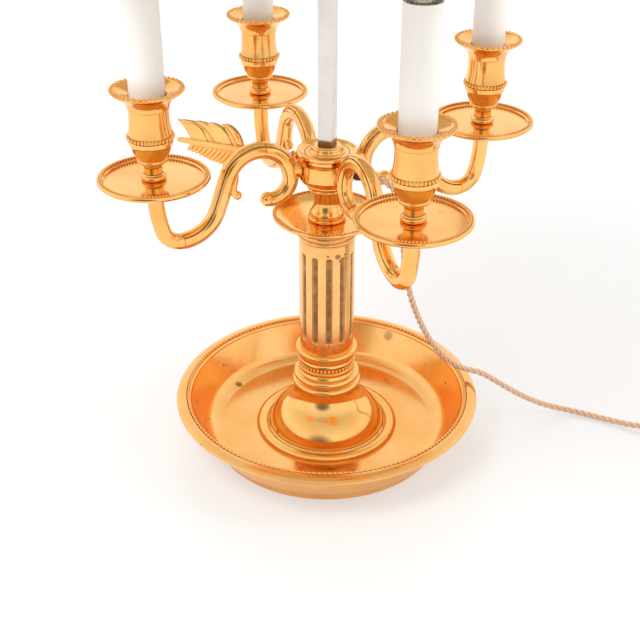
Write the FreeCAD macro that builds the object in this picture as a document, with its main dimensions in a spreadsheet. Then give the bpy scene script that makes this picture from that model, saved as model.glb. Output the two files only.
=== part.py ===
import FreeCAD, Part
import math
import os

import Sketcher

# Four-light bouillotte lamp in gilt bronze. Millimetres, +Z up, origin at the centre of the foot's
# bottom face. The four candle arms lie along -Y (front), +X (right), +Y (back) and -X (left).

SIZES = {
    # dish that the lamp stands in
    "foot_radius": 96.2, "foot_wall": 2.8, "dish_wall": 2.6, "floor_height": 8.0, "floor_radius": 90.0,
    "cove_width": 13.7, "cove_height": 9.0, "dish_mouth_radius": 114.2, "dish_mouth_height": 42.0,
    "rim_bead_radius": 116.7, "rim_bead_seat": 42.6, "rim_bead_size": 1.1,
    "lip_radius": 126.4, "lip_height": 40.2, "lip_thickness": 2.0,
    "felt_thickness": 1.0, "plate_thickness": 0.8, "plate_radius": 88.0,
    # bell foot
    "ring_radius": 55.2, "ring_size": 4.7, "bell_radius": 48.6, "bell_wall": 3.0,
    "neck_radius": 24.5, "neck_height": 50.0, "ballast_top": 40.0,
    # mouldings under the column
    "lower_torus_radius": 28.8, "lower_torus_height": 7.0, "upper_torus_radius": 27.0,
    "upper_torus_height": 6.0, "groove_radius": 22.6, "groove_height": 6.0, "base_bead_height": 6.0,
    "base_bead_radius": 22.8, "flare_radius": 24.9, "flare_height": 5.0, "flare_drop": 7.0,
    # column
    "column_radius": 21.94, "column_wall": 3.4, "column_top": 195.0, "flute_width": 5.2,
    "flute_depth": 1.6, "flute_bottom": 97.5, "flute_top": 176.0, "flute_count": 12, "flute_phase": 10.0,
    "neck_ring_height": 187.5, "neck_ring_size": 1.0,
    # dish at the top of the column
    "collar_radius": 42.4, "collar_rim_height": 204.8, "collar_floor": 201.0, "collar_floor_radius": 29.0,
    "collar_bead_radius": 40.9, "collar_bead_seat": 206.6,
    # baluster vase and hub
    "vase_foot_radius": 14.7, "vase_foot_height": 3.4, "waist_radius": 10.0, "waist_height": 219.0,
    "vase_band_height": 226.5, "vase_top": 232.0, "hub_radius": 23.2, "hub_wall": 3.6,
    "hub_shoulder": 238.5, "hub_line": 250.5, "hub_neck_radius": 20.0, "hub_top": 255.6,
    "cap_radius": 23.1, "cap_thickness": 2.8, "cap_dish": 2.0, "boss_radius": 13.9, "boss_height": 6.0,
    "socket_wall_radius": 11.2, "socket_bottom": 239.6,
    # centre rod and its fastening
    "rod_width": 11.0, "rod_clearance": 0.35, "rod_bottom": 241.0, "rod_top": 652.0,
    "tie_radius": 5.0, "tie_clearance": 0.35, "nut_width": 17.0, "top_nut_height": 2.4,
    # arrow-shaped clamp key
    "arrow_height": 248.4, "arrow_radius": 2.65, "arrow_tail": 126.0, "vane_start": 68.5,
    "vane_end": 124.3, "vane_thickness": 2.6, "upper_vane": 18.0, "lower_vane": 18.5,
    "arrow_screw_radius": 2.4, "arrow_angle": 135.0,
    # candle arms
    "arm_reach": 135.1, "arm_radius": 6.0, "curl_radius": 15.0, "curl_end": -75.0, "curl_tube": 5.0,
    "curl_ball": 5.4, "arch_radius": 25.5, "arch_centre": 56.0, "arch_height": 241.0,
    "crest_seam": 100.0, "arch_end": 20.0, "bend_radius": 30.0, "bend_bottom": 205.6,
    "heel_radius": 15.0, "heel_turn": 75.0, "spur_radius": 2.9, "spur_arc": 12.0, "spur_offset": 7.0,
    "bore_radius": 2.4, "wire_radius": 1.5, "nipple_height": 247.0, "nipple_radius": 3.6,
    # drip pans and candle cups
    "pan_radius": 40.4, "pan_floor": 258.9, "pan_thickness": 2.4, "pan_bead_radius": 38.0,
    "pan_bead_seat": 261.6, "pan_rim_height": 259.6, "pan_well_radius": 35.4,
    "stem_ring_radius": 9.0, "stem_radius": 6.6, "cup_bulb_radius": 14.6, "cup_bead_radius": 17.2,
    "cup_bead_height": 291.0, "cup_body_radius": 14.6, "cup_throat": 312.0, "cup_rim_radius": 26.0,
    "cup_rim_height": 325.6, "cup_well_radius": 21.5, "cup_seat": 304.0,
    # candle sleeves, lampholders and bulbs
    "sleeve_radius": 12.5, "sleeve_wall": 1.1, "sleeve_clearance": 0.2, "sleeve_top": 403.0,
    "holder_radius": 11.1, "holder_top": 399.0, "holder_bore": 7.1, "holder_depth": 24.0,
    "bulb_cap_radius": 6.8, "bulb_cap_length": 22.0, "bulb_radius": 17.5, "bulb_length": 78.0,
    # shade, its carrier and the finial
    "shade_bottom": 446.0, "shade_height": 150.0, "shade_radius": 198.0, "shade_top_radius": 58.0,
    "shade_thickness": 0.8, "shade_band": 7.0, "spider_thickness": 2.4, "spider_width": 9.0,
    "carrier_radius": 13.0, "carrier_height": 30.0, "slide_clearance": 0.08, "key_drop": 20.0,
    "key_screw_radius": 2.5, "key_width": 20.0, "key_thickness": 3.2,
    "finial_height": 44.0, "finial_radius": 13.0,
    # cord, coil, switch and plug
    "cord_radius": 2.65, "bush_radius": 4.4, "cord_exit_height": 241.0,
    "coil_outer": 34.0, "coil_pitch": 5.9,
    "coil_layer_turns": 1.75, "coil_layers": 4, "tie_width": 10.0, "tie_thickness": 0.9,
    "switch_length": 62.0, "switch_width": 24.0, "switch_height": 17.0, "rocker_length": 20.0,
    "rocker_width": 11.0, "plug_length": 36.0, "plug_radius": 18.0, "pin_radius": 2.35,
    "pin_spacing": 19.0, "pin_length": 19.0,
}

doc = FreeCAD.newDocument("bouillotte_lamp")
sheet = doc.addObject("Spreadsheet::Sheet", "Sizes")
for row, (name, value) in enumerate(SIZES.items(), start=1):
    sheet.set(f"A{row}", name)
    sheet.set(f"B{row}", str(value))
    sheet.setAlias(f"B{row}", name)
doc.recompute()


class Size:
    """A length or count from the sheet, or a sum of such, that keeps its expression beside its value."""

    def __init__(self, value, text):
        self.value = float(value)
        self.text = text

    def _join(self, other, sign, value):
        other_text = other.text if isinstance(other, Size) else repr(float(other))
        return Size(value, f"({self.text} {sign} {other_text})")

    def __add__(self, other):
        return self._join(other, "+", self.value + float(other))

    def __sub__(self, other):
        return self._join(other, "-", self.value - float(other))

    def __mul__(self, other):
        return self._join(other, "*", self.value * float(other))

    def __truediv__(self, other):
        return self._join(other, "/", self.value / float(other))

    def __neg__(self):
        return Size(-self.value, f"(-1 * {self.text})")

    def __float__(self):
        return self.value


class Sizes:
    """Every named size of the sheet, as an attribute."""


s = Sizes()
for name in SIZES:
    setattr(s, name, Size(getattr(sheet, name), f"Sizes.{name}"))

ARMS = {"front": -90.0, "right": 0.0, "back": 90.0, "left": 180.0}
UP = FreeCAD.Vector(0, 0, 1)
ORIGIN = FreeCAD.Vector(0, 0, 0)
nodes = []


def fixed(value):
    return Size(value, repr(float(value)))


def plane(body, role):
    return [f for f in body.Origin.OriginFeatures if f.Role == role][0]


def is_zero(length):
    return abs(float(length)) < 1e-9


def pin_point(sketch, geometry, end, x, y):
    """Hold one end of an edge at a named place, from the sketch's origin."""
    for axis, kind, length in ((-2, "DistanceX", x), (-1, "DistanceY", y)):
        if is_zero(length):
            sketch.addConstraint(Sketcher.Constraint("PointOnObject", geometry, end, axis))
            continue
        number = sketch.addConstraint(
            Sketcher.Constraint(kind, -1, 1, geometry, end, float(length)))
        sketch.setExpression(f"Constraints[{number}]", length.text)


def draw_outline(sketch, outline):
    """Close an outline of (x, y, turn) corners; turn is the angle of the arc to the next corner, or 0."""
    ends = []
    count = len(outline)
    for i in range(count):
        x0, y0, turn = outline[i]
        x1, y1, _ = outline[(i + 1) % count]
        a = FreeCAD.Vector(float(x0), float(y0), 0)
        b = FreeCAD.Vector(float(x1), float(y1), 0)
        if turn == 0:
            number = sketch.addGeometry(Part.LineSegment(a, b))
            ends.append((number, 1, 2))
            continue
        half = math.radians(abs(turn)) / 2
        chord = b - a
        side = FreeCAD.Vector(-chord.y, chord.x, 0).normalize() * math.copysign(1, turn)
        centre = (a + b) * 0.5 + side * (chord.Length / 2 / math.tan(half))
        radius = chord.Length / 2 / math.sin(half)
        first, last = (a, b) if turn > 0 else (b, a)
        start = math.atan2(first.y - centre.y, first.x - centre.x)
        stop = math.atan2(last.y - centre.y, last.x - centre.x)
        if stop < start:
            stop += 2 * math.pi
        number = sketch.addGeometry(
            Part.ArcOfCircle(Part.Circle(centre, UP, radius), start, stop))
        ends.append((number, 1, 2) if turn > 0 else (number, 2, 1))
        held = sketch.addConstraint(Sketcher.Constraint("Radius", number, radius))
        gap_x = (x1 - x0).text
        gap_y = (y1 - y0).text
        sketch.setExpression(
            f"Constraints[{held}]", f"hypot({gap_x}; {gap_y}) * {0.5 / math.sin(half)!r}")
    for i in range(count):
        this, following = ends[i], ends[(i + 1) % count]
        sketch.addConstraint(
            Sketcher.Constraint("Coincident", this[0], this[2], following[0], following[1]))
        x, y, _ = outline[i]
        pin_point(sketch, this[0], this[1], x, y)


def new_body(label):
    body = doc.addObject("PartDesign::Body", label)
    body.Label = label
    nodes.append(body)
    return body


def new_sketch(body, name, role):
    sketch = body.newObject("Sketcher::SketchObject", name)
    sketch.AttachmentSupport = [(plane(body, role), "")]
    sketch.MapMode = "FlatFace"
    return sketch


def turned(label, outline, place=None):
    """A turned piece: the outline's x is the radius and its y is the height."""
    body = new_body(label)
    sketch = new_sketch(body, label + "_outline", "XZ_Plane")
    draw_outline(sketch, outline)
    lathe = body.newObject("PartDesign::Revolution", label + "_turning")
    lathe.Profile = sketch
    lathe.ReferenceAxis = (sketch, ["V_Axis"])
    lathe.Angle = 360
    sketch.Visibility = False
    if place is not None:
        set_on_arm(body, place)
    return body


def set_on_arm(thing, angle):
    """Stand a piece on the axis of the candle cup at this angle."""
    turn = math.radians(angle)
    for axis, share in (("x", round(math.cos(turn), 9)), ("y", round(math.sin(turn), 9))):
        if share:
            thing.setExpression(f"Placement.Base.{axis}", (s.arm_reach * share).text)


def plain(label, shape):
    """A piece whose form neither a sketch nor a primitive gives."""
    feature = doc.addObject("Part::Feature", label)
    feature.Label = label
    feature.Shape = shape
    nodes.append(feature)
    return feature


def group(label, shapes):
    return plain(label, Part.makeCompound(shapes))


def at(radius, height, angle=0.0):
    turn = math.radians(angle)
    return FreeCAD.Vector(float(radius) * math.cos(turn), float(radius) * math.sin(turn), float(height))


def rod_between(start, end, radius):
    return Part.makeCylinder(float(radius), (end - start).Length, start, end - start)


# The dish, its cover and its ballast
cove_top_radius = s.floor_radius + s.cove_width
cove_top = s.floor_height + s.cove_height
tie_hole = s.tie_radius + s.tie_clearance
turned("base_dish", [
    (tie_hole, s.floor_height - s.dish_wall, 0),
    (s.foot_radius - s.foot_wall - 1.5, s.floor_height - s.dish_wall, 0),
    (s.foot_radius - s.foot_wall, fixed(0), 0),
    (s.foot_radius, fixed(0), 0),
    (s.foot_radius + 1.4, s.floor_height - 1.0, 42),
    (cove_top_radius + s.dish_wall, cove_top - 1.0, 0),
    (s.dish_mouth_radius + s.dish_wall, s.dish_mouth_height - 5.0, -50),
    (s.lip_radius - 1.0, s.lip_height - s.lip_thickness, 60),
    (s.lip_radius, s.lip_height - s.lip_thickness / 2, 60),
    (s.lip_radius - 0.6, s.lip_height, 12),
    (s.rim_bead_radius + s.rim_bead_size + 1.4, s.rim_bead_seat, 0),
    (s.rim_bead_radius + s.rim_bead_size, s.rim_bead_seat, 160),
    (s.rim_bead_radius - s.rim_bead_size, s.rim_bead_seat, 0),
    (s.dish_mouth_radius + 0.8, s.rim_bead_seat, 50),
    (s.dish_mouth_radius, s.dish_mouth_height, 0),
    (cove_top_radius, cove_top, -66),
    (s.floor_radius, s.floor_height, 0),
    (tie_hole, s.floor_height, 0),
])


def disc(label, radius, bottom, height, hole=None):
    """A flat washer-like piece with its bottom at the given height."""
    outer = doc.addObject("Part::Cylinder", label + ("_disc" if hole is not None else ""))
    outer.setExpression("Radius", radius.text)
    outer.setExpression("Height", height.text)
    outer.setExpression("Placement.Base.z", bottom.text)
    if hole is None:
        outer.Label = label
        nodes.append(outer)
        return outer
    inner = doc.addObject("Part::Cylinder", label + "_hole")
    inner.setExpression("Radius", hole.text)
    inner.setExpression("Height", height.text)
    inner.setExpression("Placement.Base.z", bottom.text)
    cut = doc.addObject("Part::Cut", label)
    cut.Base = outer
    cut.Tool = inner
    cut.Label = label
    nodes.append(cut)
    return cut


disc("base_felt", s.plate_radius + 3.0, fixed(0), s.felt_thickness)
disc("base_plate", s.plate_radius, s.felt_thickness, s.plate_thickness)
bell_inside = s.bell_radius - s.bell_wall
turned("base_ballast", [
    (tie_hole, s.floor_height, 0),
    (bell_inside - 3.0, s.floor_height, 0),
    (bell_inside - 3.0, s.floor_height + 6.0, 0),
    (s.neck_radius - s.bell_wall - 3.0, s.ballast_top, 0),
    (tie_hole, s.ballast_top, 0),
])

# The bell foot, with the ring round it, and the mouldings under the column
bell_neck = s.neck_radius
turned("foot_bell", [
    (bell_inside - 2.0, s.floor_height, 0),
    (s.ring_radius + s.ring_size, s.floor_height, 90),
    (s.ring_radius, s.floor_height + s.ring_size, 60),
    (s.bell_radius + 1.4, s.floor_height + 2.4, 0),
    (s.bell_radius, s.floor_height + 3.4, 41.4),
    (bell_neck + 9.0, s.floor_height + 24.0, -55),
    (bell_neck, s.neck_height - 2.0, 0),
    (bell_neck, s.neck_height, 0),
    (s.groove_radius - s.bell_wall, s.neck_height, 0),
    (bell_neck - s.bell_wall, s.neck_height - 3.0, 50),
    (bell_neck + 6.0, s.floor_height + 22.0, -12),
    (bell_inside - 7.0, s.floor_height + 12.0, -50),
    (bell_inside - 2.0, s.floor_height + 4.0, 0),
])
lower_top = s.neck_height + s.lower_torus_height
upper_top = lower_top + s.upper_torus_height
groove_top = upper_top + s.groove_height
base_bead_top = groove_top + s.base_bead_height
flare_bottom = base_bead_top + s.flare_drop
column_bottom = flare_bottom + s.flare_height
turned("column_base_ring", [
    (s.groove_radius - s.bell_wall, s.neck_height, 0),
    (s.lower_torus_radius - 2.6, s.neck_height, 150),
    (s.lower_torus_radius - 2.6, lower_top - 0.8, 0),
    (s.upper_torus_radius - 2.0, lower_top, 150),
    (s.upper_torus_radius - 2.0, upper_top, 0),
    (s.groove_radius + 0.8, upper_top + 0.4, -60),
    (s.groove_radius, groove_top, 0),
    (s.base_bead_radius - 0.6, groove_top + 1.0, 150),
    (s.base_bead_radius - 0.6, base_bead_top - 1.0, 0),
    (s.groove_radius, base_bead_top, -60),
    (s.flare_radius - 1.8, flare_bottom, 170),
    (s.flare_radius - 1.8, column_bottom, 0),
    (s.groove_radius - s.bell_wall, column_bottom, 0),
])

# The fluted column
column = turned("column", [
    (s.column_radius - s.column_wall, column_bottom, 0),
    (s.column_radius, column_bottom, 0),
    (s.column_radius, s.neck_ring_height - s.neck_ring_size, 150),
    (s.column_radius, s.neck_ring_height + s.neck_ring_size, 0),
    (s.column_radius, s.column_top, 0),
    (s.column_radius - s.column_wall, s.column_top, 0),
])
doc.recompute()
flute = new_sketch(column, "flute_outline", "XZ_Plane")
flute.setExpression("AttachmentOffset.Base.z", (-s.column_radius - 4.0).text)
half_flute = s.flute_width / 2
draw_outline(flute, [
    (-half_flute, s.flute_bottom + half_flute, 170),
    (half_flute, s.flute_bottom + half_flute, 0),
    (half_flute, s.flute_top - half_flute, 170),
    (-half_flute, s.flute_top - half_flute, 0),
])
cutter = column.newObject("PartDesign::Pocket", "flute")
cutter.Profile = flute
cutter.setExpression("Length", (s.flute_depth + 4.0).text)
cutter.Reversed = True
flutes = column.newObject("PartDesign::PolarPattern", "flutes")
flutes.Originals = [cutter]
flutes.Axis = (plane(column, "Z_Axis"), [""])
flutes.Angle = 360
flutes.setExpression("Occurrences", s.flute_count.text)
column.Tip = flutes
column.setExpression("Placement.Rotation.Angle", s.flute_phase.text)
column.Placement = FreeCAD.Placement(ORIGIN, FreeCAD.Rotation(UP, float(s.flute_phase)))

# The dish on the column, the vase and the hub
turned("collar_dish", [
    (tie_hole, s.column_top - 5.0, 0),
    (s.column_radius - s.column_wall - 0.2, s.column_top - 5.0, 0),
    (s.column_radius - s.column_wall - 0.2, s.column_top, 0),
    (s.column_radius + 0.8, s.column_top, 0),
    (s.column_radius + 3.2, s.column_top + 2.0, -28),
    (s.collar_radius - 1.2, s.collar_rim_height - 1.2, 30),
    (s.collar_radius, s.collar_rim_height, 40),
    (s.collar_bead_radius + 1.0, s.collar_bead_seat, 150),
    (s.collar_bead_radius - 1.0, s.collar_bead_seat, 0),
    (s.collar_bead_radius - 1.8, s.collar_bead_seat, -30),
    (s.collar_floor_radius, s.collar_floor, 0),
    (tie_hole, s.collar_floor, 0),
])
foot_top = s.collar_floor + s.vase_foot_height
turned("hub_vase", [
    (tie_hole, s.collar_floor, 0),
    (s.vase_foot_radius - 1.2, s.collar_floor, 150),
    (s.vase_foot_radius - 1.2, foot_top, 30),
    (s.waist_radius + 3.0, foot_top + 3.6, -40),
    (s.waist_radius, s.waist_height, -30),
    (s.waist_radius + 1.6, s.vase_band_height, 0),
    (s.waist_radius + 4.0, s.vase_band_height, 120),
    (s.waist_radius + 5.0, s.vase_band_height + 2.4, 60),
    (s.waist_radius + 6.6, s.vase_top, 0),
    (tie_hole, s.vase_top, 0),
])
hub_inside = s.hub_radius - s.hub_wall
hub_floor = s.vase_top + 4.0
hub_body = turned("hub_body", [
    (tie_hole, s.vase_top, 0),
    (s.waist_radius + 6.2, s.vase_top, 45),
    (s.hub_radius, s.hub_shoulder, 0),
    (s.hub_radius, s.hub_line - 0.6, 60),
    (s.hub_radius - 0.8, s.hub_line, 0),
    (s.hub_neck_radius, s.hub_line + 1.0, -40),
    (s.hub_neck_radius + 0.8, s.hub_top, 0),
    (s.hub_neck_radius - 2.6, s.hub_top, 0),
    (s.hub_neck_radius - 2.6, hub_floor + 3.0, 0),
    (s.hub_neck_radius - 5.6, hub_floor, 0),
    (tie_hole, hub_floor, 0),
])


def cross_hole(body, name, radius, height, role, both_ways):
    """Drill across a body, along the normal of one of its own upright planes."""
    sketch = new_sketch(body, name + "_circle", role)
    circle = sketch.addGeometry(Part.Circle(FreeCAD.Vector(0, float(height), 0), UP, float(radius)))
    sketch.addConstraint(Sketcher.Constraint("PointOnObject", circle, 3, -2))
    held = sketch.addConstraint(Sketcher.Constraint("DistanceY", -1, 1, circle, 3, float(height)))
    sketch.setExpression(f"Constraints[{held}]", height.text)
    held = sketch.addConstraint(Sketcher.Constraint("Radius", circle, float(radius)))
    sketch.setExpression(f"Constraints[{held}]", radius.text)
    hole = body.newObject("PartDesign::Pocket", name)
    hole.Profile = sketch
    hole.setExpression("Length", (s.hub_radius * 4).text)
    hole.Midplane = both_ways
    return hole


nipple_clearance = 0.05
cross_hole(hub_body, "arm_holes_x", s.nipple_radius + nipple_clearance, s.nipple_height, "YZ_Plane", True)
cross_hole(hub_body, "arm_holes_y", s.nipple_radius + nipple_clearance, s.nipple_height, "XZ_Plane", True)
doc.recompute()

# The cap carries the square socket of the centre rod; the key's hole and the cord's hole are drilled
# along the diagonal.
cap_bottom = s.hub_top
cap_top = s.hub_top + s.cap_thickness
hub_cap = turned("hub_cap", [
    (fixed(0), s.socket_bottom, 0),
    (s.socket_wall_radius, s.socket_bottom, 0),
    (s.socket_wall_radius, cap_bottom, 0),
    (s.cap_radius - 0.8, cap_bottom, 60),
    (s.cap_radius, cap_bottom + 0.8, 0),
    (s.cap_radius, cap_top - 0.6, 80),
    (s.cap_radius - 0.6, cap_top, 0),
    (s.cap_radius - 1.6, cap_top, -20),
    (s.boss_radius + 3.0, cap_top - s.cap_dish, 0),
    (s.boss_radius, cap_top - s.cap_dish, 60),
    (s.boss_radius - 1.0, cap_top - s.cap_dish + 1.2, -40),
    (s.boss_radius - 2.2, cap_top - s.cap_dish + s.boss_height / 2, 60),
    (s.boss_radius - 3.4, cap_top - s.cap_dish + s.boss_height - 1.0, 40),
    (s.boss_radius - 4.2, cap_top - s.cap_dish + s.boss_height, 0),
    (fixed(0), cap_top - s.cap_dish + s.boss_height, 0),
])
boss_top = cap_top - s.cap_dish + s.boss_height
socket = new_sketch(hub_cap, "socket_square", "XY_Plane")
socket.setExpression("AttachmentOffset.Base.z", boss_top.text)
half_socket = s.rod_width / 2 + s.rod_clearance
draw_outline(socket, [
    (half_socket, half_socket, 0), (-half_socket, half_socket, 0),
    (-half_socket, -half_socket, 0), (half_socket, -half_socket, 0),
])
square_hole = hub_cap.newObject("PartDesign::Pocket", "socket_hole")
square_hole.Profile = socket
square_hole.setExpression("Length", (boss_top - s.rod_bottom).text)
cross_hole(hub_cap, "key_hole", s.arrow_screw_radius + 0.05, s.arrow_height, "YZ_Plane", False)
hub_cap.Placement = FreeCAD.Placement(ORIGIN, FreeCAD.Rotation(UP, float(s.arrow_angle) - 180))
doc.recompute()


def drilled(body, label, tools):
    """Put cutters through a finished body and let the result stand for it."""
    shape = body.Shape.copy()
    for tool in tools:
        before = shape.Volume
        shape = shape.cut(tool)
        assert shape.Volume < before - 0.5, label
    nodes.remove(body)
    body.Label = label + "_blank"
    return plain(label, shape.Solids[0] if len(shape.Solids) == 1 else shape)


key_cut = rod_between(at(float(hub_inside) - 12, s.arrow_height, float(s.arrow_angle)),
                      at(float(s.hub_radius) + 6, s.arrow_height, float(s.arrow_angle)),
                      float(s.arrow_screw_radius) + 0.05)
cord_cut = rod_between(at(float(hub_inside) - 6, s.cord_exit_height, float(s.arrow_angle) - 180),
                       at(float(s.hub_radius) + 6, s.cord_exit_height, float(s.arrow_angle) - 180),
                       float(s.bush_radius) - 1.2)
drilled(hub_body, "hub_body", [key_cut, cord_cut])

# Centre rod, tie rod and nuts
rod_base = Part.makeBox(float(s.rod_width), float(s.rod_width), float(s.rod_top - s.rod_bottom))
rod_base.translate(FreeCAD.Vector(-float(s.rod_width) / 2, -float(s.rod_width) / 2, float(s.rod_bottom)))
rod_base.rotate(ORIGIN, UP, float(s.arrow_angle))
plain("centre_rod", rod_base)
nut_bottom = s.felt_thickness + s.plate_thickness + 0.2
tie_top = hub_floor + s.top_nut_height
disc("tie_rod", s.tie_radius, nut_bottom, tie_top - nut_bottom)


def hex_nut(bottom, height):
    corner = float(s.nut_width) / math.sqrt(3)
    ring = [FreeCAD.Vector(corner * math.cos(math.radians(a)), corner * math.sin(math.radians(a)),
                           float(bottom)) for a in range(0, 420, 60)]
    nut = Part.Face(Part.makePolygon(ring)).extrude(UP * float(height))
    return nut.cut(Part.makeCylinder(float(s.tie_radius), float(height), FreeCAD.Vector(0, 0, float(bottom))))


group("tie_rod_nuts", [hex_nut(nut_bottom, s.floor_height - s.dish_wall - nut_bottom),
                       hex_nut(hub_floor, s.top_nut_height)])

# Candle arms, drawn in the plane of radius and height, then turned to their places


def on_circle(centre_r, centre_z, radius, angle):
    turn = math.radians(angle)
    return FreeCAD.Vector(centre_r + radius * math.cos(turn), 0, centre_z + radius * math.sin(turn))


def arc(centre_r, centre_z, radius, first, last):
    points = [on_circle(centre_r, centre_z, radius, first + (last - first) * share) for share in (0, 0.5, 1)]
    return Part.Arc(*points).toShape()


def arm_lines():
    """The centre lines of an arm's curl, arch, sweep and riser, as edges."""
    arch_r, arch_z, arch = float(s.arch_centre), float(s.arch_height), float(s.arch_radius)
    curl = float(s.curl_radius)
    curl_r = arch_r - arch + curl
    curl_edges = [arc(curl_r, arch_z, curl, float(s.curl_end), -180),
                  arc(arch_r, arch_z, arch, 180, float(s.crest_seam))]
    end = float(s.arch_end)
    leave = on_circle(arch_r, arch_z, arch, end)
    heading = FreeCAD.Vector(math.sin(math.radians(end)), 0, -math.cos(math.radians(end)))
    inward = FreeCAD.Vector(math.cos(math.radians(end)), 0, math.sin(math.radians(end)))
    bend = float(s.bend_radius)
    bend_z = float(s.bend_bottom) + bend
    straight = (leave.z + inward.z * bend - bend_z) / -heading.z
    meet = leave + heading * straight
    centre = meet + inward * bend
    sweep_edges = [arc(arch_r, arch_z, arch, float(s.crest_seam), end),
                   Part.LineSegment(leave, meet).toShape(),
                   arc(centre.x, centre.z, bend, 180 + end, 270)]
    heel, turn = float(s.heel_radius), float(s.heel_turn)
    heel_z = float(s.bend_bottom) + heel
    heel_end = on_circle(centre.x, heel_z, heel, -90 + turn)
    rest = math.radians(90 - turn)
    lean = (float(s.arm_reach) - heel_end.x) / (1 - math.cos(rest))
    riser_r = float(s.arm_reach) - lean
    riser_z = heel_end.z + lean * math.sin(rest)
    top = FreeCAD.Vector(float(s.arm_reach), 0, float(s.pan_floor - s.pan_thickness))
    riser_edges = [arc(centre.x, heel_z, heel, -90, -90 + turn),
                   arc(riser_r, riser_z, lean, -90 + turn, 0),
                   Part.LineSegment(FreeCAD.Vector(float(s.arm_reach), 0, riser_z), top).toShape()]
    return curl_edges, sweep_edges, riser_edges


def swept(edges, first_radius, last_radius=None):
    """A round bar along tangent edges, from one radius to the other."""
    wire = Part.Wire(edges)
    start, stop = edges[0], edges[-1]
    first = Part.Wire([Part.makeCircle(float(first_radius), start.valueAt(start.FirstParameter),
                                       start.tangentAt(start.FirstParameter))])
    shell = Part.BRepOffsetAPI.MakePipeShell(wire)
    shell.add(first)
    if last_radius is not None:
        shell.add(Part.Wire([Part.makeCircle(float(last_radius), stop.valueAt(stop.LastParameter),
                                             stop.tangentAt(stop.LastParameter))]))
    shell.build()
    shell.makeSolid()
    return shell.shape()


curl_line, sweep_line, riser_line = arm_lines()
wire_entry = math.degrees(math.asin(float(s.nipple_height - s.arch_height) / float(s.arch_radius)))
entry_line = [arc(float(s.arch_centre), float(s.arch_height), float(s.arch_radius),
                  180 - wire_entry, float(s.crest_seam))]
entry = entry_line[0].valueAt(entry_line[0].FirstParameter)
curl_end_point = curl_line[0].valueAt(curl_line[0].FirstParameter)
curl = swept(curl_line, s.curl_tube, s.arm_radius)
seat_radius = float(s.hub_radius) + 0.02
joint_boss = rod_between(FreeCAD.Vector(seat_radius, 0, entry.z), entry, float(s.arm_radius) - 0.6)
nipple_reach = entry.x - 1.0
nipple_hole = rod_between(FreeCAD.Vector(seat_radius - 4, 0, entry.z),
                          FreeCAD.Vector(nipple_reach, 0, entry.z), float(s.nipple_radius) + 0.05)
hub_hollow = Part.makeCylinder(seat_radius, 40, FreeCAD.Vector(0, 0, float(s.hub_shoulder) - 12))
scroll = curl.fuse([Part.makeSphere(float(s.curl_ball), curl_end_point), joint_boss])
elbow = rod_between(FreeCAD.Vector(nipple_reach - 1.0, 0, entry.z), entry, s.bore_radius)
elbow = elbow.fuse(Part.makeSphere(float(s.bore_radius), entry))
scroll = scroll.cut([nipple_hole, swept(entry_line, s.bore_radius), elbow, hub_hollow]).removeSplitter()
sweep_outer = swept(sweep_line, s.arm_radius)
spur_centre = (float(s.arch_centre) + float(s.spur_offset), float(s.arch_height) - 0.5)
spur_line = [arc(*spur_centre, float(s.spur_arc), 55, -35)]
spur_tip = spur_line[0].valueAt(spur_line[0].LastParameter)
spur = swept(spur_line, s.spur_radius).fuse(Part.makeSphere(float(s.spur_radius) + 0.3, spur_tip))
sweep_piece = sweep_outer.fuse(spur).cut(swept(sweep_line, s.bore_radius)).removeSplitter()
riser = swept(riser_line, s.arm_radius)
spigot_depth = 7.0
spigot_radius = 4.0
riser_top = FreeCAD.Vector(float(s.arm_reach), 0, float(s.pan_floor - s.pan_thickness))
spigot_hole = rod_between(riser_top - UP * (spigot_depth + 0.3), riser_top, spigot_radius + 0.05)
riser = riser.cut([swept(riser_line, s.bore_radius), spigot_hole]).removeSplitter()
inlet = rod_between(FreeCAD.Vector(13.0, 0, entry.z), entry, s.wire_radius)
lead = swept(entry_line + sweep_line + riser_line, s.wire_radius)
arm_lead = lead.fuse([inlet, Part.makeSphere(float(s.wire_radius), entry)]).removeSplitter()
nipple = rod_between(FreeCAD.Vector(float(s.hub_neck_radius) - 5.0, 0, entry.z),
                     FreeCAD.Vector(nipple_reach, 0, entry.z), s.nipple_radius)
nipple = nipple.cut(rod_between(FreeCAD.Vector(0, 0, entry.z), entry, s.bore_radius))
leads, nipples = [], []


def turned_copy(shape, angle):
    copy = shape.copy()
    copy.rotate(ORIGIN, UP, angle)
    return copy


for side, angle in ARMS.items():
    for label, shape in (("arm_scroll", scroll), ("arm_sweep", sweep_piece), ("arm_riser", riser)):
        piece = plain(f"{label}_{side}", shape)
        piece.Placement = FreeCAD.Placement(ORIGIN, FreeCAD.Rotation(UP, angle))
    leads.append(turned_copy(arm_lead, angle))
    nipples.append(turned_copy(nipple, angle))
group("arm_leads", leads)
group("arm_nipples", nipples)

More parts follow.
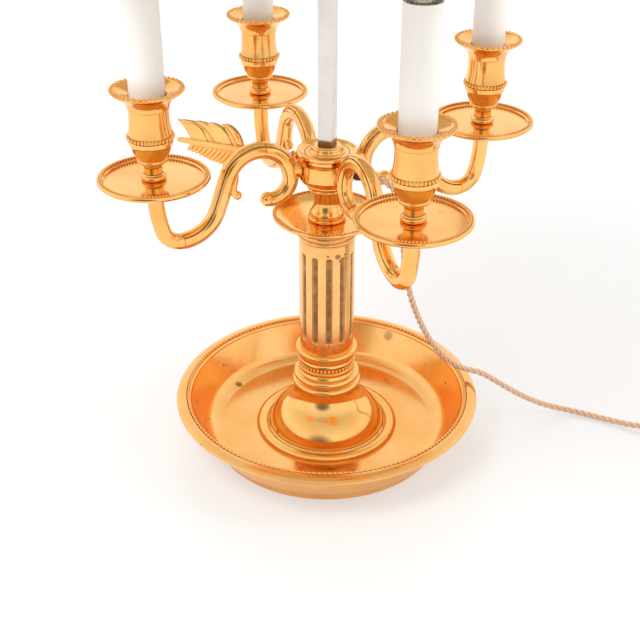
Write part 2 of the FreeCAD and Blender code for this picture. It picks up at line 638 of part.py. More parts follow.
# Drip pans, candle cups, sleeves and lampholders, all on the axis at the end of each arm
pan_bottom = s.pan_floor - s.pan_thickness
stem_hole = fixed(spigot_radius) + 0.05
cup_bore = fixed(2.6)
sleeve_bore = s.sleeve_radius + s.sleeve_clearance
seat_floor = s.cup_seat
for side, angle in ARMS.items():
    turned(f"drip_pan_{side}", [
        (stem_hole, pan_bottom, 0),
        (s.arm_radius + 1.4, pan_bottom, -40),
        (s.arm_radius + 3.0, pan_bottom + 0.6, 0),
        (s.pan_radius - 3.0, pan_bottom + 0.6, 50),
        (s.pan_radius, s.pan_rim_height, 50),
        (s.pan_bead_radius + 0.9, s.pan_bead_seat, 150),
        (s.pan_bead_radius - 0.9, s.pan_bead_seat, 0),
        (s.pan_bead_radius - 1.5, s.pan_bead_seat, -50),
        (s.pan_well_radius, s.pan_floor, 0),
        (stem_hole, s.pan_floor, 0),
    ], angle)
    turned(f"candle_cup_{side}", [
        (cup_bore, pan_bottom - spigot_depth, 0),
        (fixed(spigot_radius), pan_bottom - spigot_depth, 0),
        (fixed(spigot_radius), s.pan_floor, 0),
        (s.stem_ring_radius - 1.6, s.pan_floor, 160),
        (s.stem_ring_radius - 1.6, s.pan_floor + 4.0, 0),
        (s.stem_radius, s.pan_floor + 5.0, 0),
        (s.stem_radius, s.pan_floor + 10.0, -30),
        (s.stem_radius + 2.2, s.pan_floor + 13.5, 0),
        (s.stem_radius + 3.6, s.pan_floor + 13.5, 100),
        (s.stem_radius + 3.6, s.pan_floor + 16.0, 20),
        (s.cup_bulb_radius, s.pan_floor + 25.0, 25),
        (s.cup_bulb_radius + 1.0, s.cup_bead_height - 2.6, 0),
        (s.cup_bead_radius - 1.0, s.cup_bead_height - 1.6, 150),
        (s.cup_bead_radius - 1.0, s.cup_bead_height + 1.6, 0),
        (s.cup_body_radius + 0.8, s.cup_bead_height + 2.0, -14),
        (s.cup_body_radius - 0.5, s.cup_throat - 1.0, 90),
        (s.cup_body_radius + 0.2, s.cup_throat, -58),
        (s.cup_rim_radius - 3.0, s.cup_rim_height - 3.4, 0),
        (s.cup_rim_radius, s.cup_rim_height - 1.6, 50),
        (s.cup_rim_radius - 0.6, s.cup_rim_height, 0),
        (s.cup_rim_radius - 3.4, s.cup_rim_height, -30),
        (s.cup_well_radius - 1.0, s.cup_rim_height - 1.4, 0),
        (sleeve_bore + 0.6, s.cup_rim_height - 4.2, 0),
        (sleeve_bore, s.cup_rim_height - 5.4, 0),
        (sleeve_bore, seat_floor, 0),
        (cup_bore, seat_floor, 0),
    ], angle)
    turned(f"candle_sleeve_{side}", [
        (s.sleeve_radius - s.sleeve_wall, seat_floor, 0),
        (s.sleeve_radius, seat_floor, 0),
        (s.sleeve_radius, s.sleeve_top, 0),
        (s.sleeve_radius - s.sleeve_wall, s.sleeve_top, 0),
    ], angle)
    turned(f"lampholder_{side}", [
        (cup_bore, seat_floor, 0),
        (s.stem_radius, seat_floor, 0),
        (s.stem_radius, s.holder_top - s.holder_depth * 1.8, 0),
        (s.holder_radius, s.holder_top - s.holder_depth * 1.6, 0),
        (s.holder_radius, s.holder_top, 0),
        (s.holder_bore, s.holder_top, 0),
        (s.holder_bore, s.holder_top - s.holder_depth, 0),
        (cup_bore, s.holder_top - s.holder_depth, 0),
    ], angle)

bulb_seat = s.holder_top - s.bulb_cap_length


def turned_solid(outline):
    """Turn an outline of (radius, height, turn) without a sketch, for pieces grouped in one node."""
    edges = []
    for i, (x0, y0, turn) in enumerate(outline):
        x1, y1, _ = outline[(i + 1) % len(outline)]
        a = FreeCAD.Vector(float(x0), 0, float(y0))
        b = FreeCAD.Vector(float(x1), 0, float(y1))
        if turn == 0:
            edges.append(Part.LineSegment(a, b).toShape())
            continue
        chord = b - a
        bulge = math.tan(math.radians(turn) / 4) / 2
        middle = (a + b) * 0.5 + FreeCAD.Vector(chord.z, 0, -chord.x) * bulge
        edges.append(Part.Arc(a, middle, b).toShape())
    return Part.Face(Part.Wire(edges)).revolve(ORIGIN, UP, 360)


glass_bottom = s.sleeve_top + 0.4
glass = turned_solid([
    (fixed(0), glass_bottom - 0.2, 0),
    (s.bulb_cap_radius - 0.6, glass_bottom - 0.2, 0),
    (s.bulb_cap_radius + 2.0, glass_bottom + 4.0, 36),
    (s.bulb_radius, glass_bottom + s.bulb_length * 0.38, 40),
    (s.bulb_radius * 0.62, glass_bottom + s.bulb_length * 0.76, -12),
    (fixed(1.6), glass_bottom + s.bulb_length, 0),
    (fixed(0), glass_bottom + s.bulb_length, 0),
])
screw_cap = turned_solid([
    (fixed(0), bulb_seat, 0),
    (s.bulb_cap_radius - 3.0, bulb_seat, 0),
    (s.bulb_cap_radius, bulb_seat + 3.0, 0),
    (s.bulb_cap_radius, glass_bottom - 0.2, 0),
    (fixed(0), glass_bottom - 0.2, 0),
])


def on_each_arm(shape):
    copies = []
    for angle in ARMS.values():
        copy = shape.copy()
        copy.translate(at(s.arm_reach, 0, angle))
        copies.append(copy)
    return copies


group("bulb_glass", on_each_arm(glass))
group("bulb_caps", on_each_arm(screw_cap))

# The arrow-shaped key that clamps the centre rod
arrow_screw_tip = float(s.rod_width) / 2 + 0.02


def vane(outline):
    points = [FreeCAD.Vector(x, -float(s.vane_thickness) / 2, z + float(s.arrow_height)) for x, z in outline]
    return Part.Face(Part.makePolygon(points + points[:1])).extrude(
        FreeCAD.Vector(0, float(s.vane_thickness), 0))


start, end = float(s.vane_start), float(s.vane_end)
top, low = float(s.upper_vane), float(s.lower_vane)
shaft = rod_between(FreeCAD.Vector(float(s.hub_radius) + 0.4, 0, float(s.arrow_height)),
                    FreeCAD.Vector(float(s.arrow_tail), 0, float(s.arrow_height)), s.arrow_radius)
screw = rod_between(FreeCAD.Vector(arrow_screw_tip, 0, float(s.arrow_height)),
                    FreeCAD.Vector(float(s.hub_radius) + 1.4, 0, float(s.arrow_height)), s.arrow_screw_radius)
feather_top = vane([(start, 0), (start + 6, top * 0.8), (start + 13, top), (end - 8, top * 0.92),
                    (end, top), (end - 6, top * 0.45), (end - 12, 0)])
feather_low = vane([(start, 0), (end - 10, 0), (end - 8, -low * 0.35), (start + 17, -low),
                    (start + 10, -low * 0.78), (start + 3, -low * 0.35)])
arrow = shaft.fuse([screw, feather_top, feather_low]).removeSplitter()
arrow_key = plain("arrow_key", arrow)
arrow_key.Placement = FreeCAD.Placement(ORIGIN, FreeCAD.Rotation(UP, float(s.arrow_angle)))

# Shade, its spider, the carrier that slides on the rod, the locking key and the finial
shade_top = s.shade_bottom + s.shade_height
skin = s.shade_thickness
turned("shade", [
    (s.shade_radius - skin, s.shade_bottom, 0),
    (s.shade_radius, s.shade_bottom, 0),
    (s.shade_radius, s.shade_bottom + s.shade_band, 0),
    (s.shade_top_radius, shade_top - s.shade_band, 0),
    (s.shade_top_radius, shade_top, 0),
    (s.shade_top_radius - skin, shade_top, 0),
    (s.shade_top_radius - skin, shade_top - s.shade_band - 0.6, 0),
    (s.shade_radius - skin, s.shade_bottom + s.shade_band - 0.6, 0),
])
spider_z = shade_top - s.shade_band + 1.5
spider_outer = s.shade_top_radius - skin
carrier_bottom = spider_z + s.spider_thickness - s.carrier_height
ring = Part.makeCylinder(float(spider_outer), float(s.spider_thickness), at(0, spider_z))
ring = ring.cut(Part.makeCylinder(float(spider_outer) - 5, float(s.spider_thickness), at(0, spider_z)))
spokes = []
for angle in (0, 120, 240):
    spoke = Part.makeBox(float(spider_outer - s.carrier_radius) - 0.5, float(s.spider_width),
                         float(s.spider_thickness),
                         FreeCAD.Vector(float(s.carrier_radius), -float(s.spider_width) / 2, float(spider_z)))
    spokes.append(turned_copy(spoke, angle + float(s.arrow_angle) - 180))
eye = Part.makeCylinder(float(s.carrier_radius) + 3, float(s.spider_thickness), at(0, spider_z))
eye = eye.cut(Part.makeCylinder(float(s.carrier_radius), float(s.spider_thickness), at(0, spider_z)))
plain("shade_spider", ring.fuse(spokes + [eye]).removeSplitter())
slot_width = float(s.rod_width + s.slide_clearance * 2)
slot = Part.makeBox(slot_width, slot_width, float(s.carrier_height) + 12,
                    FreeCAD.Vector(-slot_width / 2, -slot_width / 2, float(carrier_bottom) - 4))
slot.rotate(ORIGIN, UP, float(s.arrow_angle))
carrier_blank = turned_solid([
    (fixed(0), carrier_bottom, 0),
    (s.carrier_radius - 2.0, carrier_bottom, 60),
    (s.carrier_radius, carrier_bottom + 2.0, 0),
    (s.carrier_radius, spider_z + s.spider_thickness, 60),
    (s.carrier_radius - 2.0, spider_z + s.spider_thickness + 3.0, 0),
    (fixed(0), spider_z + s.spider_thickness + 3.0, 0),
])
key_z = float(carrier_bottom) + float(s.carrier_height) - float(s.key_drop)
key_axis = float(s.arrow_angle) - 180
key_bore = rod_between(at(0, key_z, key_axis), at(30, key_z, key_axis), float(s.key_screw_radius) + 0.05)
plain("shade_carrier", carrier_blank.cut([slot, key_bore]).removeSplitter())
key_screw = rod_between(FreeCAD.Vector(float(s.rod_width) / 2 + 0.02, 0, key_z),
                        FreeCAD.Vector(float(s.carrier_radius) + 6, 0, key_z), s.key_screw_radius)
key_wing = rod_between(FreeCAD.Vector(float(s.carrier_radius) + 15, -float(s.key_thickness) / 2, key_z),
                       FreeCAD.Vector(float(s.carrier_radius) + 15, float(s.key_thickness) / 2, key_z),
                       float(s.key_width) / 2)
key_collar = rod_between(FreeCAD.Vector(float(s.carrier_radius) + 0.4, 0, key_z),
                         FreeCAD.Vector(float(s.carrier_radius) + 6, 0, key_z), float(s.key_screw_radius) + 1.6)
key_shape = key_screw.fuse([key_wing, key_collar]).removeSplitter()
shade_key = plain("shade_key", key_shape)
shade_key.Placement = FreeCAD.Placement(ORIGIN, FreeCAD.Rotation(UP, key_axis))
turned("finial", [
    (fixed(0), s.rod_top, 0),
    (s.finial_radius - 3.0, s.rod_top, 150),
    (s.finial_radius - 3.0, s.rod_top + 3.6, 0),
    (s.finial_radius - 7.0, s.rod_top + 5.0, -30),
    (s.finial_radius - 7.6, s.rod_top + 9.0, 50),
    (s.finial_radius - 2.0, s.rod_top + s.finial_height * 0.42, 60),
    (s.finial_radius - 8.0, s.rod_top + s.finial_height * 0.72, -40),
    (s.finial_radius - 9.6, s.rod_top + s.finial_height * 0.8, 0),
    (s.finial_radius - 8.4, s.rod_top + s.finial_height * 0.86, 60),
    (fixed(0.8), s.rod_top + s.finial_height, 0),
    (fixed(0), s.rod_top + s.finial_height, 0),
])

# The cord: out of the hub between the front and right arms, over the dish's lip and along the floor
CORD_ROUTE = [
    (23.6, -23.6, 240.9), (32.4, -30.4, 239.2), (40.4, -33.3, 232.0), (44.8, -33.4, 219.6),
    (48.2, -33.0, 199.0), (51.4, -32.8, 172.0), (56.4, -32.6, 142.0), (65.5, -32.8, 115.0),
    (78.5, -32.4, 88.0), (95.0, -32.8, 65.5), (113.0, -34.6, 50.6), (127.0, -40.0, 47.6),
    (146.0, -49.0, 33.0), (166.0, -55.0, 18.6), (187.0, -61.0, 7.4), (207.0, -71.5, 3.2),
    (225.0, -92.5, 2.9), (242.0, -114.0, 4.4), (252.5, -126.8, 8.6), (261.0, -136.6, 8.6),
]
cord_points = [FreeCAD.Vector(*p) for p in CORD_ROUTE]


def tube(points, radius, share=0.45):
    """A round tube on straight runs joined by tangent arcs; prints its tightest arc."""
    edges = []
    last = points[0]
    tightest = 1e9
    for before, corner, after in zip(points, points[1:], points[2:]):
        into, out = (corner - before), (after - corner)
        turn = into.getAngle(out)
        back = share * min(into.Length, out.Length)
        tightest = min(tightest, back / math.tan(turn / 2))
        into.normalize()
        out.normalize()
        a, b = corner - into * back, corner + out * back
        bisector = (out - into).normalize()
        arc_radius = back / math.tan(turn / 2)
        middle = corner + bisector * (arc_radius / math.cos(turn / 2) - arc_radius)
        edges += [Part.LineSegment(last, a).toShape(), Part.Arc(a, middle, b).toShape()]
        last = b
    edges.append(Part.LineSegment(last, points[-1]).toShape())
    solid = swept(edges, radius)
    length = sum(edge.Length for edge in edges)
    section = math.pi * float(radius) ** 2
    print(f"tube length {length:.1f} tightest {tightest:.1f} volume share {solid.Volume / section / length:.4f}")
    return solid


exit_point = cord_points[0]
exit_way = (cord_points[1] - cord_points[0]).normalize()
plain("cord", tube(cord_points, s.cord_radius))
bush_start = at(float(hub_inside) - 3.0, s.cord_exit_height, float(s.arrow_angle) - 180)
bush_seat = at(float(s.hub_radius) + 0.2, s.cord_exit_height, float(s.arrow_angle) - 180)
bush = Part.makeCone(float(s.bush_radius), float(s.cord_radius) + 0.9, (exit_point - bush_seat).Length,
                     bush_seat, exit_point - bush_seat)
bush_tail = rod_between(bush_start, bush_seat, float(s.bush_radius) - 1.25)
cord_seat = rod_between(exit_point, exit_point + exit_way * 8, s.cord_radius)
plain("cord_bush", bush.fuse(bush_tail).removeSplitter().cut(cord_seat))

# The switch on the cord
switch_way = (cord_points[-1] - cord_points[-2]).normalize()
switch_start = cord_points[-1]
switch_end = switch_start + switch_way * float(s.switch_length)
switch_turn = math.degrees(math.atan2(switch_way.y, switch_way.x))
switch_middle = (switch_start + switch_end) * 0.5
rocker_axis_height = float(s.switch_height) - 4.0
rocker_radius = float(s.rocker_length) / 2
half_rocker = float(s.rocker_width) / 2
pin_clearance = 0.05
rocker_clearance = 0.3
half_length, half_width = float(s.switch_length) / 2, float(s.switch_width) / 2
nose = 8.0
case_outline = [FreeCAD.Vector(x, y, 0) for x, y in (
    (-half_length, -nose / 2), (-half_length + nose, -half_width), (half_length - nose, -half_width),
    (half_length, -nose / 2), (half_length, nose / 2), (half_length - nose, half_width),
    (-half_length + nose, half_width), (-half_length, nose / 2))]
case = Part.Face(Part.makePolygon(case_outline + case_outline[:1])).extrude(UP * float(s.switch_height))
case = case.makeFillet(2.0, [e for e in case.Edges if e.BoundBox.ZMin > float(s.switch_height) - 0.1])
across = FreeCAD.Vector(0, 1, 0)


def across_cylinder(radius, half_span):
    return Part.makeCylinder(radius, half_span * 2, FreeCAD.Vector(0, -half_span, rocker_axis_height), across)


rocker_pin = across_cylinder(1.5, half_rocker + 2.0)
case = case.cut(across_cylinder(rocker_radius + rocker_clearance, half_rocker + rocker_clearance))
case = case.fuse(rocker_pin).removeSplitter()
rocker = across_cylinder(rocker_radius, half_rocker).cut(across_cylinder(1.5 + pin_clearance, half_rocker + 1))
rocker_valley, rocker_slope, rocker_throw = 4.6, 1.5, 16
rocker_top = rocker_axis_height + rocker_valley
profile = [FreeCAD.Vector(x, -half_rocker, z) for x, z in (
    (-rocker_radius, 0), (rocker_radius, 0), (rocker_radius, rocker_top + rocker_slope),
    (0, rocker_top), (-rocker_radius, rocker_top + rocker_slope))]
wedge = Part.Face(Part.makePolygon(profile + profile[:1])).extrude(across * 2 * half_rocker)
rocker = rocker.common(wedge)
rocker.rotate(FreeCAD.Vector(0, 0, rocker_axis_height), across, -rocker_throw / 2)
switch_place = FreeCAD.Placement(FreeCAD.Vector(switch_middle.x, switch_middle.y, 0),
                                 FreeCAD.Rotation(UP, switch_turn))
plain("switch_body", case).Placement = switch_place
plain("switch_rocker", rocker.removeSplitter()).Placement = switch_place

# The unseen length of cord, wound into a coil in four layers, with its tie and its plug
coil_outer, coil_pitch = float(s.coil_outer), float(s.coil_pitch)
layer_turns, coil_layers = float(s.coil_layer_turns), int(float(s.coil_layers))
tie_band = float(s.tie_thickness)
coil_floor = float(s.cord_radius) + tie_band + 0.3
lead_length = 28.0
start_angle = math.radians(switch_turn - 90)
coil_meet = switch_end + switch_way * (lead_length + 2 * float(s.cord_radius))
coil_centre = FreeCAD.Vector(coil_meet.x - coil_outer * math.cos(start_angle),
                             coil_meet.y - coil_outer * math.sin(start_angle), 0)


def coil_point(turns):
    """The middle of the cord after this many turns: four layers that reverse at the rim and the eye."""
    layer, along = divmod(turns, layer_turns)
    inward = along if int(layer) % 2 == 0 else layer_turns - along
    radius = coil_outer - coil_pitch * inward
    level = 0.0
    for change in range(1, coil_layers):
        level += min(1.0, max(0.0, (turns - change * layer_turns) * 2 + 0.5))
    angle = start_angle + turns * 2 * math.pi
    return coil_centre + FreeCAD.Vector(radius * math.cos(angle), radius * math.sin(angle),
                                        coil_floor + level * coil_pitch)


def biarc(p0, t0, p1, t1):
    """Two arcs from one point and direction to another."""
    gap = p1 - p0
    both = t0 + t1
    slack = 2 * (1 - t0.dot(t1))
    push = gap.dot(both)
    if slack < 1e-9:
        reach = gap.dot(gap) / (4 * gap.dot(t1))
    else:
        reach = (-push + math.sqrt(push * push + slack * gap.dot(gap))) / slack
    joint = (p0 + p1 + (t0 - t1) * reach) * 0.5
    edges = []
    for start, way, stop in ((p0, t0, joint), (joint, None, p1)):
        chord = stop - start
        if way is None:
            way = edges[-1].tangentAt(edges[-1].LastParameter)
        lean = way.getAngle(chord)
        if lean < 1e-6:
            edges.append(Part.LineSegment(start, stop).toShape())
            continue
        side = (way - chord * (way.dot(chord) / chord.dot(chord))).normalize()
        middle = (start + stop) * 0.5 + side * (chord.Length / 2 * math.tan(lean / 2))
        edges.append(Part.Arc(start, middle, stop).toShape())
    return edges


coil_turns = layer_turns * coil_layers
steps = int(round(coil_turns * 4))
stops = [coil_turns * i / steps for i in range(steps + 1)]


def wound_way(turns):
    small = 1e-3
    behind = min(max(turns - small, 0), coil_turns - 3 * small)
    return (coil_point(behind + 2 * small) - coil_point(behind)).normalize()


flat_way = FreeCAD.Vector(switch_way.x, switch_way.y, 0).normalize()
lead_point = switch_end + flat_way * 2 * float(s.cord_radius)
coil_edges = [Part.LineSegment(switch_end, lead_point).toShape()]
at_point, at_way = lead_point, flat_way
for turns in stops:
    goal, goal_way = coil_point(min(turns, coil_turns - 1e-6)), wound_way(turns)
    if turns == 0:
        goal_way = flat_way
    coil_edges += biarc(at_point, at_way, goal, goal_way)
    at_point, at_way = goal, goal_way
plug_height = float(s.plug_radius)
tail_reach = 34.0
tail_way = FreeCAD.Vector(at_way.x, at_way.y, 0).normalize()
tail_end = at_point + tail_way * tail_reach
tail_end.z = plug_height
coil_edges += biarc(at_point, at_way, tail_end, tail_way)
cord_end = tail_end + tail_way * 2 * float(s.cord_radius)
coil_edges.append(Part.LineSegment(tail_end, cord_end).toShape())
coil_solid = swept(coil_edges, s.cord_radius)
plain("cord_coil", coil_solid)
coil_length = sum(edge.Length for edge in coil_edges)


def least_gap(edges, thickness):
    """The smallest space between the cord's own turns, measured on points a millimetre apart."""
    points = [point for edge in edges for point in edge.discretize(max(2, int(edge.Length)))[:-1]]
    skip = int(thickness * 4)
    return min((points[i] - points[j]).Length
               for i in range(len(points)) for j in range(i + skip, len(points))) - thickness


print(f"coil length {coil_length:.1f}, least gap {least_gap(coil_edges, 2 * float(s.cord_radius)):.2f}")
eye = coil_outer - coil_pitch * layer_turns - float(s.cord_radius)
bundle_top = coil_floor + (coil_layers - 1) * coil_pitch + float(s.cord_radius)
band_width = float(s.tie_width)
tie_inside = FreeCAD.Vector(eye - 0.85, -band_width / 2, tie_band)
tie_reach, tie_rise = coil_outer + float(s.cord_radius) - eye + 1.4, bundle_top + 0.3 - tie_band
loop = Part.makeBox(tie_reach + 2 * tie_band, band_width, tie_rise + 2 * tie_band,
                    tie_inside - FreeCAD.Vector(tie_band, 0, tie_band))
gap_box = Part.makeBox(tie_reach, band_width, tie_rise, tie_inside)
tie_angle = math.degrees(start_angle) - 120
tie = plain("coil_tie", loop.cut(gap_box))
tie.Placement = FreeCAD.Placement(coil_centre, FreeCAD.Rotation(UP, tie_angle))

# The plug, lying on its rim, drawn along +Z and laid along the cord's tail
plug_body = turned_solid([
    (fixed(0), fixed(0), 0),
    (s.cord_radius + 1.2, fixed(0), 0),
    (s.cord_radius + 3.0, fixed(20), 0),
    (s.cord_radius + 5.0, fixed(22), 30),
    (s.plug_radius, s.plug_length, 0),
    (s.plug_radius, s.plug_length + 10.0, 0),
    (s.plug_radius - 1.5, s.plug_length + 12.0, 0),
    (fixed(0), s.plug_length + 12.0, 0),
])
pins = []
for side in (-1, 1):
    foot = FreeCAD.Vector(0, side * float(s.pin_spacing) / 2, float(s.plug_length) + 12)
    pins.append(Part.makeCylinder(float(s.pin_radius), float(s.pin_length), foot, UP))
plug_place = FreeCAD.Placement(cord_end, FreeCAD.Rotation(UP, tail_way))
plain("plug_body", plug_body).Placement = plug_place
group("plug_pins", pins).Placement = plug_place

doc.recompute()
problems = [o.Name for o in doc.Objects if any(m in ("Invalid", "Error") for m in o.State)]
for node in nodes:
    shape = node.Shape
    if shape.isNull() or not shape.isValid():
        problems.append(node.Label)
assert not problems, problems
os.makedirs("parts", exist_ok=True)
for node in nodes:
    node.Shape.exportStep(f"parts/{node.Label}.step")
print(len(nodes), "nodes")
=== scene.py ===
import math

import bmesh
import bpy
from mathutils import Matrix, Vector


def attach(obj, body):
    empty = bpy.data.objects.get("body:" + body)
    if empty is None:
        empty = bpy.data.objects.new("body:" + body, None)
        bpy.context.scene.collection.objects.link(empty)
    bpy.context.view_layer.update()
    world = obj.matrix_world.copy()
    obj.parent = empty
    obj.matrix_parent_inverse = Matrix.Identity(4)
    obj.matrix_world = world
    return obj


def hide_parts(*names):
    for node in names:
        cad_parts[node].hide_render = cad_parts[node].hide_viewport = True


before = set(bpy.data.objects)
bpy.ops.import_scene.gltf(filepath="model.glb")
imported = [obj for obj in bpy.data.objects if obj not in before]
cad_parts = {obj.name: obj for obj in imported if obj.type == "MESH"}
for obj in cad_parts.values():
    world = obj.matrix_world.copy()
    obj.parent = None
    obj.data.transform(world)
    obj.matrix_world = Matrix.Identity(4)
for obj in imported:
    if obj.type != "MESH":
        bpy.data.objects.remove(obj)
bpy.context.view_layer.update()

# A four-light bouillotte lamp in gilt bronze: dish base, fluted column, scroll arms, sliding shade.
# Outlines are (radius, height, turn) in millimetres, where turn is the angle of the arc that leaves
# the point for the next one, and 0 is a straight line.
MM = 0.001
ARM_TURNS = {"front": -90, "right": 0, "back": 90, "left": 180}
ARM_REACH = 135.1
KEY_TURN = 135
TIE_BORE = 5.35
DISH_FLOOR, BELL_TOP, COLUMN_BOTTOM, COLUMN_TOP, COLLAR_TOP, VASE_TOP = 8.0, 50.0, 87.0, 195.0, 201.0, 232.0
PAN_BOTTOM, PAN_FLOOR, SLEEVE_BOTTOM, SLEEVE_TOP = 256.5, 258.9, 304.0, 403.0

# Camera: the tilt, heading and lens are those of the photograph
CAMERA_PLACE = (-0.3343, -0.7227, 0.5853)
CAMERA_LENS, CAMERA_SENSOR = 63.81, 36.0
CAMERA_TILT, CAMERA_HEADING = 30.902, -24.43
CAMERA_NEAR, CAMERA_FAR = 0.02, 60.0


def place_camera():
    data = bpy.data.cameras.new("camera")
    data.lens, data.sensor_width = CAMERA_LENS, CAMERA_SENSOR
    data.clip_start, data.clip_end = CAMERA_NEAR, CAMERA_FAR
    camera = bpy.data.objects.new("camera", data)
    camera.location = CAMERA_PLACE
    camera.rotation_euler = (math.radians(90 - CAMERA_TILT), 0, math.radians(CAMERA_HEADING))
    bpy.context.scene.collection.objects.link(camera)
    bpy.context.scene.camera = camera


place_camera()
bpy.context.scene.view_settings.view_transform = "Standard"


# Node trees
class Tree:
    """Short ways to add and join the nodes of one tree."""

    def __init__(self, tree):
        self.tree = tree

    def node(self, kind, settings=None, **inputs):
        made = self.tree.nodes.new(kind)
        for name, value in (settings or {}).items():
            setattr(made, name, value)
        for name, value in inputs.items():
            self.feed(made, name.replace("_", " "), value)
        return made

    def feed(self, node, name, value):
        socket = node.inputs[int(name)] if name.isdigit() else node.inputs[name]
        if isinstance(value, bpy.types.NodeSocket):
            self.tree.links.new(value, socket)
        else:
            socket.default_value = value

    def pair(self, kind, settings, first, second):
        made = self.node(kind, settings)
        self.feed(made, "0", first)
        self.feed(made, "1", second)
        return made.outputs

    def math(self, operation, first, second=0.0, clamp=False):
        return self.pair("ShaderNodeMath", {"operation": operation, "use_clamp": clamp}, first, second)[0]

    def vectors(self, operation, first, second):
        return self.pair("ShaderNodeVectorMath", {"operation": operation}, first, second)

    def mix(self, share, first, second):
        made = self.node("ShaderNodeMix", {"data_type": "RGBA"})
        for index, value in ((0, share), (6, first), (7, second)):
            self.feed(made, str(index), value)
        return made.outputs[2]

    def mix_shaders(self, share, first, second):
        made = self.node("ShaderNodeMixShader", Fac=share)
        self.feed(made, "1", first.outputs[0])
        self.feed(made, "2", second.outputs[0])
        return made.outputs[0]

    def noise(self, vector, scale, detail=3.0, rough=0.5):
        made = self.node("ShaderNodeTexNoise", Scale=scale, Detail=detail, Roughness=rough, Vector=vector)
        return made.outputs["Fac"]

    def span(self, value, low, high, to_low=0.0, to_high=1.0):
        made = self.node("ShaderNodeMapRange", {"clamp": True})
        for index, part in enumerate((value, low, high, to_low, to_high)):
            self.feed(made, str(index), part)
        return made.outputs[0]

    def place(self):
        return self.node("ShaderNodeTexCoord").outputs["Object"]

    # How much painted shade the mesh gives each point
    def recess(self):
        return self.node("ShaderNodeAttribute", {"attribute_name": "recess"}).outputs["Fac"]


def emptied(owner):
    """The node tree of a new material or world, with nothing in it."""
    owner.use_nodes = True
    owner.node_tree.nodes.clear()
    return Tree(owner.node_tree)


def new_group(name, kind, inputs, outputs):
    """An empty node group with its named sockets; returns the helper, the input and the output node."""
    tree = bpy.data.node_groups.new(name, kind)
    for way, sockets in (("INPUT", inputs), ("OUTPUT", outputs)):
        for label, (form, value) in sockets.items():
            made = tree.interface.new_socket(label, in_out=way, socket_type=form)
            if value is not None:
                made.default_value = value
    helper = Tree(tree)
    return helper, helper.node("NodeGroupInput"), helper.node("NodeGroupOutput")


FLOAT, COLOUR, VECTOR = "NodeSocketFloat", "NodeSocketColor", "NodeSocketVector"


def age_marks_group():
    """Cloudy tone, rare dark spots and hairline scratches on an old polished surface, with painted shade in
    recesses.
    """
    t, put, out = new_group("age_marks_and_shade", "ShaderNodeTree", {
        "Tone": (COLOUR, (0.9, 0.5, 0.2, 1)), "Deep tone": (COLOUR, (0.8, 0.4, 0.1, 1)),
        "Grime": (COLOUR, (0.12, 0.05, 0.02, 1)), "Cloud scale": (FLOAT, 30.0), "Spots": (FLOAT, 0.4),
        "Recess grime": (FLOAT, 0.8), "Gloss": (FLOAT, 0.1), "Dullness": (FLOAT, 0.1),
    }, {"Colour": (COLOUR, None), "Roughness": (FLOAT, None), "Height": (FLOAT, None)})
    place = t.place()
    cloud = t.span(t.noise(place, put.outputs["Cloud scale"], 4), 0.35, 0.68)
    tone = t.mix(cloud, put.outputs["Tone"], put.outputs["Deep tone"])
    fine = t.noise(place, 260.0, 2)
    spots = t.math("MULTIPLY", t.span(t.noise(place, 95.0, 5, 0.65), 0.69, 0.735), put.outputs["Spots"])
    uneven = t.span(t.noise(place, 140.0, 3), 0.25, 0.6, 0.65, 1.0)
    # Painted shade in recesses, uneven in strength, shares one dark colour with the tarnish spots
    recess_shade = t.math("MULTIPLY", t.math("MULTIPLY", t.recess(), put.outputs["Recess grime"]), uneven)
    shade_and_spots = t.math("MAXIMUM", recess_shade, spots, clamp=True)
    stretch = t.node("ShaderNodeMapping", Scale=(1.0, 1.0, 14.0), Rotation=(0.5, 0.35, 0.2), Vector=place)
    hair = t.noise(stretch.outputs["Vector"], 420.0, 2, 0.6)
    t.feed(out, "Colour", t.mix(shade_and_spots, tone, put.outputs["Grime"]))
    rough = t.math("ADD", put.outputs["Gloss"],
                   t.math("MULTIPLY", put.outputs["Dullness"], t.span(fine, 0.3, 0.75)))
    rough = t.math("ADD", rough, t.math("MULTIPLY", t.span(hair, 0.62, 0.72), 0.06))
    t.feed(out, "Roughness", t.math("ADD", rough, t.math("MULTIPLY", shade_and_spots, 0.4), clamp=True))
    t.feed(out, "Height", t.noise(place, 42.0, 2))
    return t.tree


def grain_group():
    """Fine speckle with a slow change of tone, for cast, moulded, painted and cloth surfaces."""
    t, put, out = new_group("fine_grain", "ShaderNodeTree", {
        "Tone": (COLOUR, (0.5, 0.5, 0.5, 1)), "Second tone": (COLOUR, (0.4, 0.4, 0.4, 1)),
        "Grain scale": (FLOAT, 900.0), "Cloud scale": (FLOAT, 25.0), "Roughness": (FLOAT, 0.5),
        "Roughness swing": (FLOAT, 0.1),
    }, {"Colour": (COLOUR, None), "Roughness": (FLOAT, None), "Height": (FLOAT, None)})
    place = t.place()
    grain = t.noise(place, put.outputs["Grain scale"], 3)
    cloud = t.noise(place, put.outputs["Cloud scale"], 3)
    share = t.span(t.math("ADD", t.math("MULTIPLY", grain, 0.4), t.math("MULTIPLY", cloud, 0.6)), 0.35, 0.65)
    t.feed(out, "Colour", t.mix(share, put.outputs["Tone"], put.outputs["Second tone"]))
    swing = t.math("MULTIPLY", t.span(cloud, 0.3, 0.7), put.outputs["Roughness swing"])
    t.feed(out, "Roughness", t.math("ADD", put.outputs["Roughness"], swing, clamp=True))
    t.feed(out, "Height", grain)
    return t.tree


AGE_MARKS_AND_SHADE, FINE_GRAIN = age_marks_group(), grain_group()


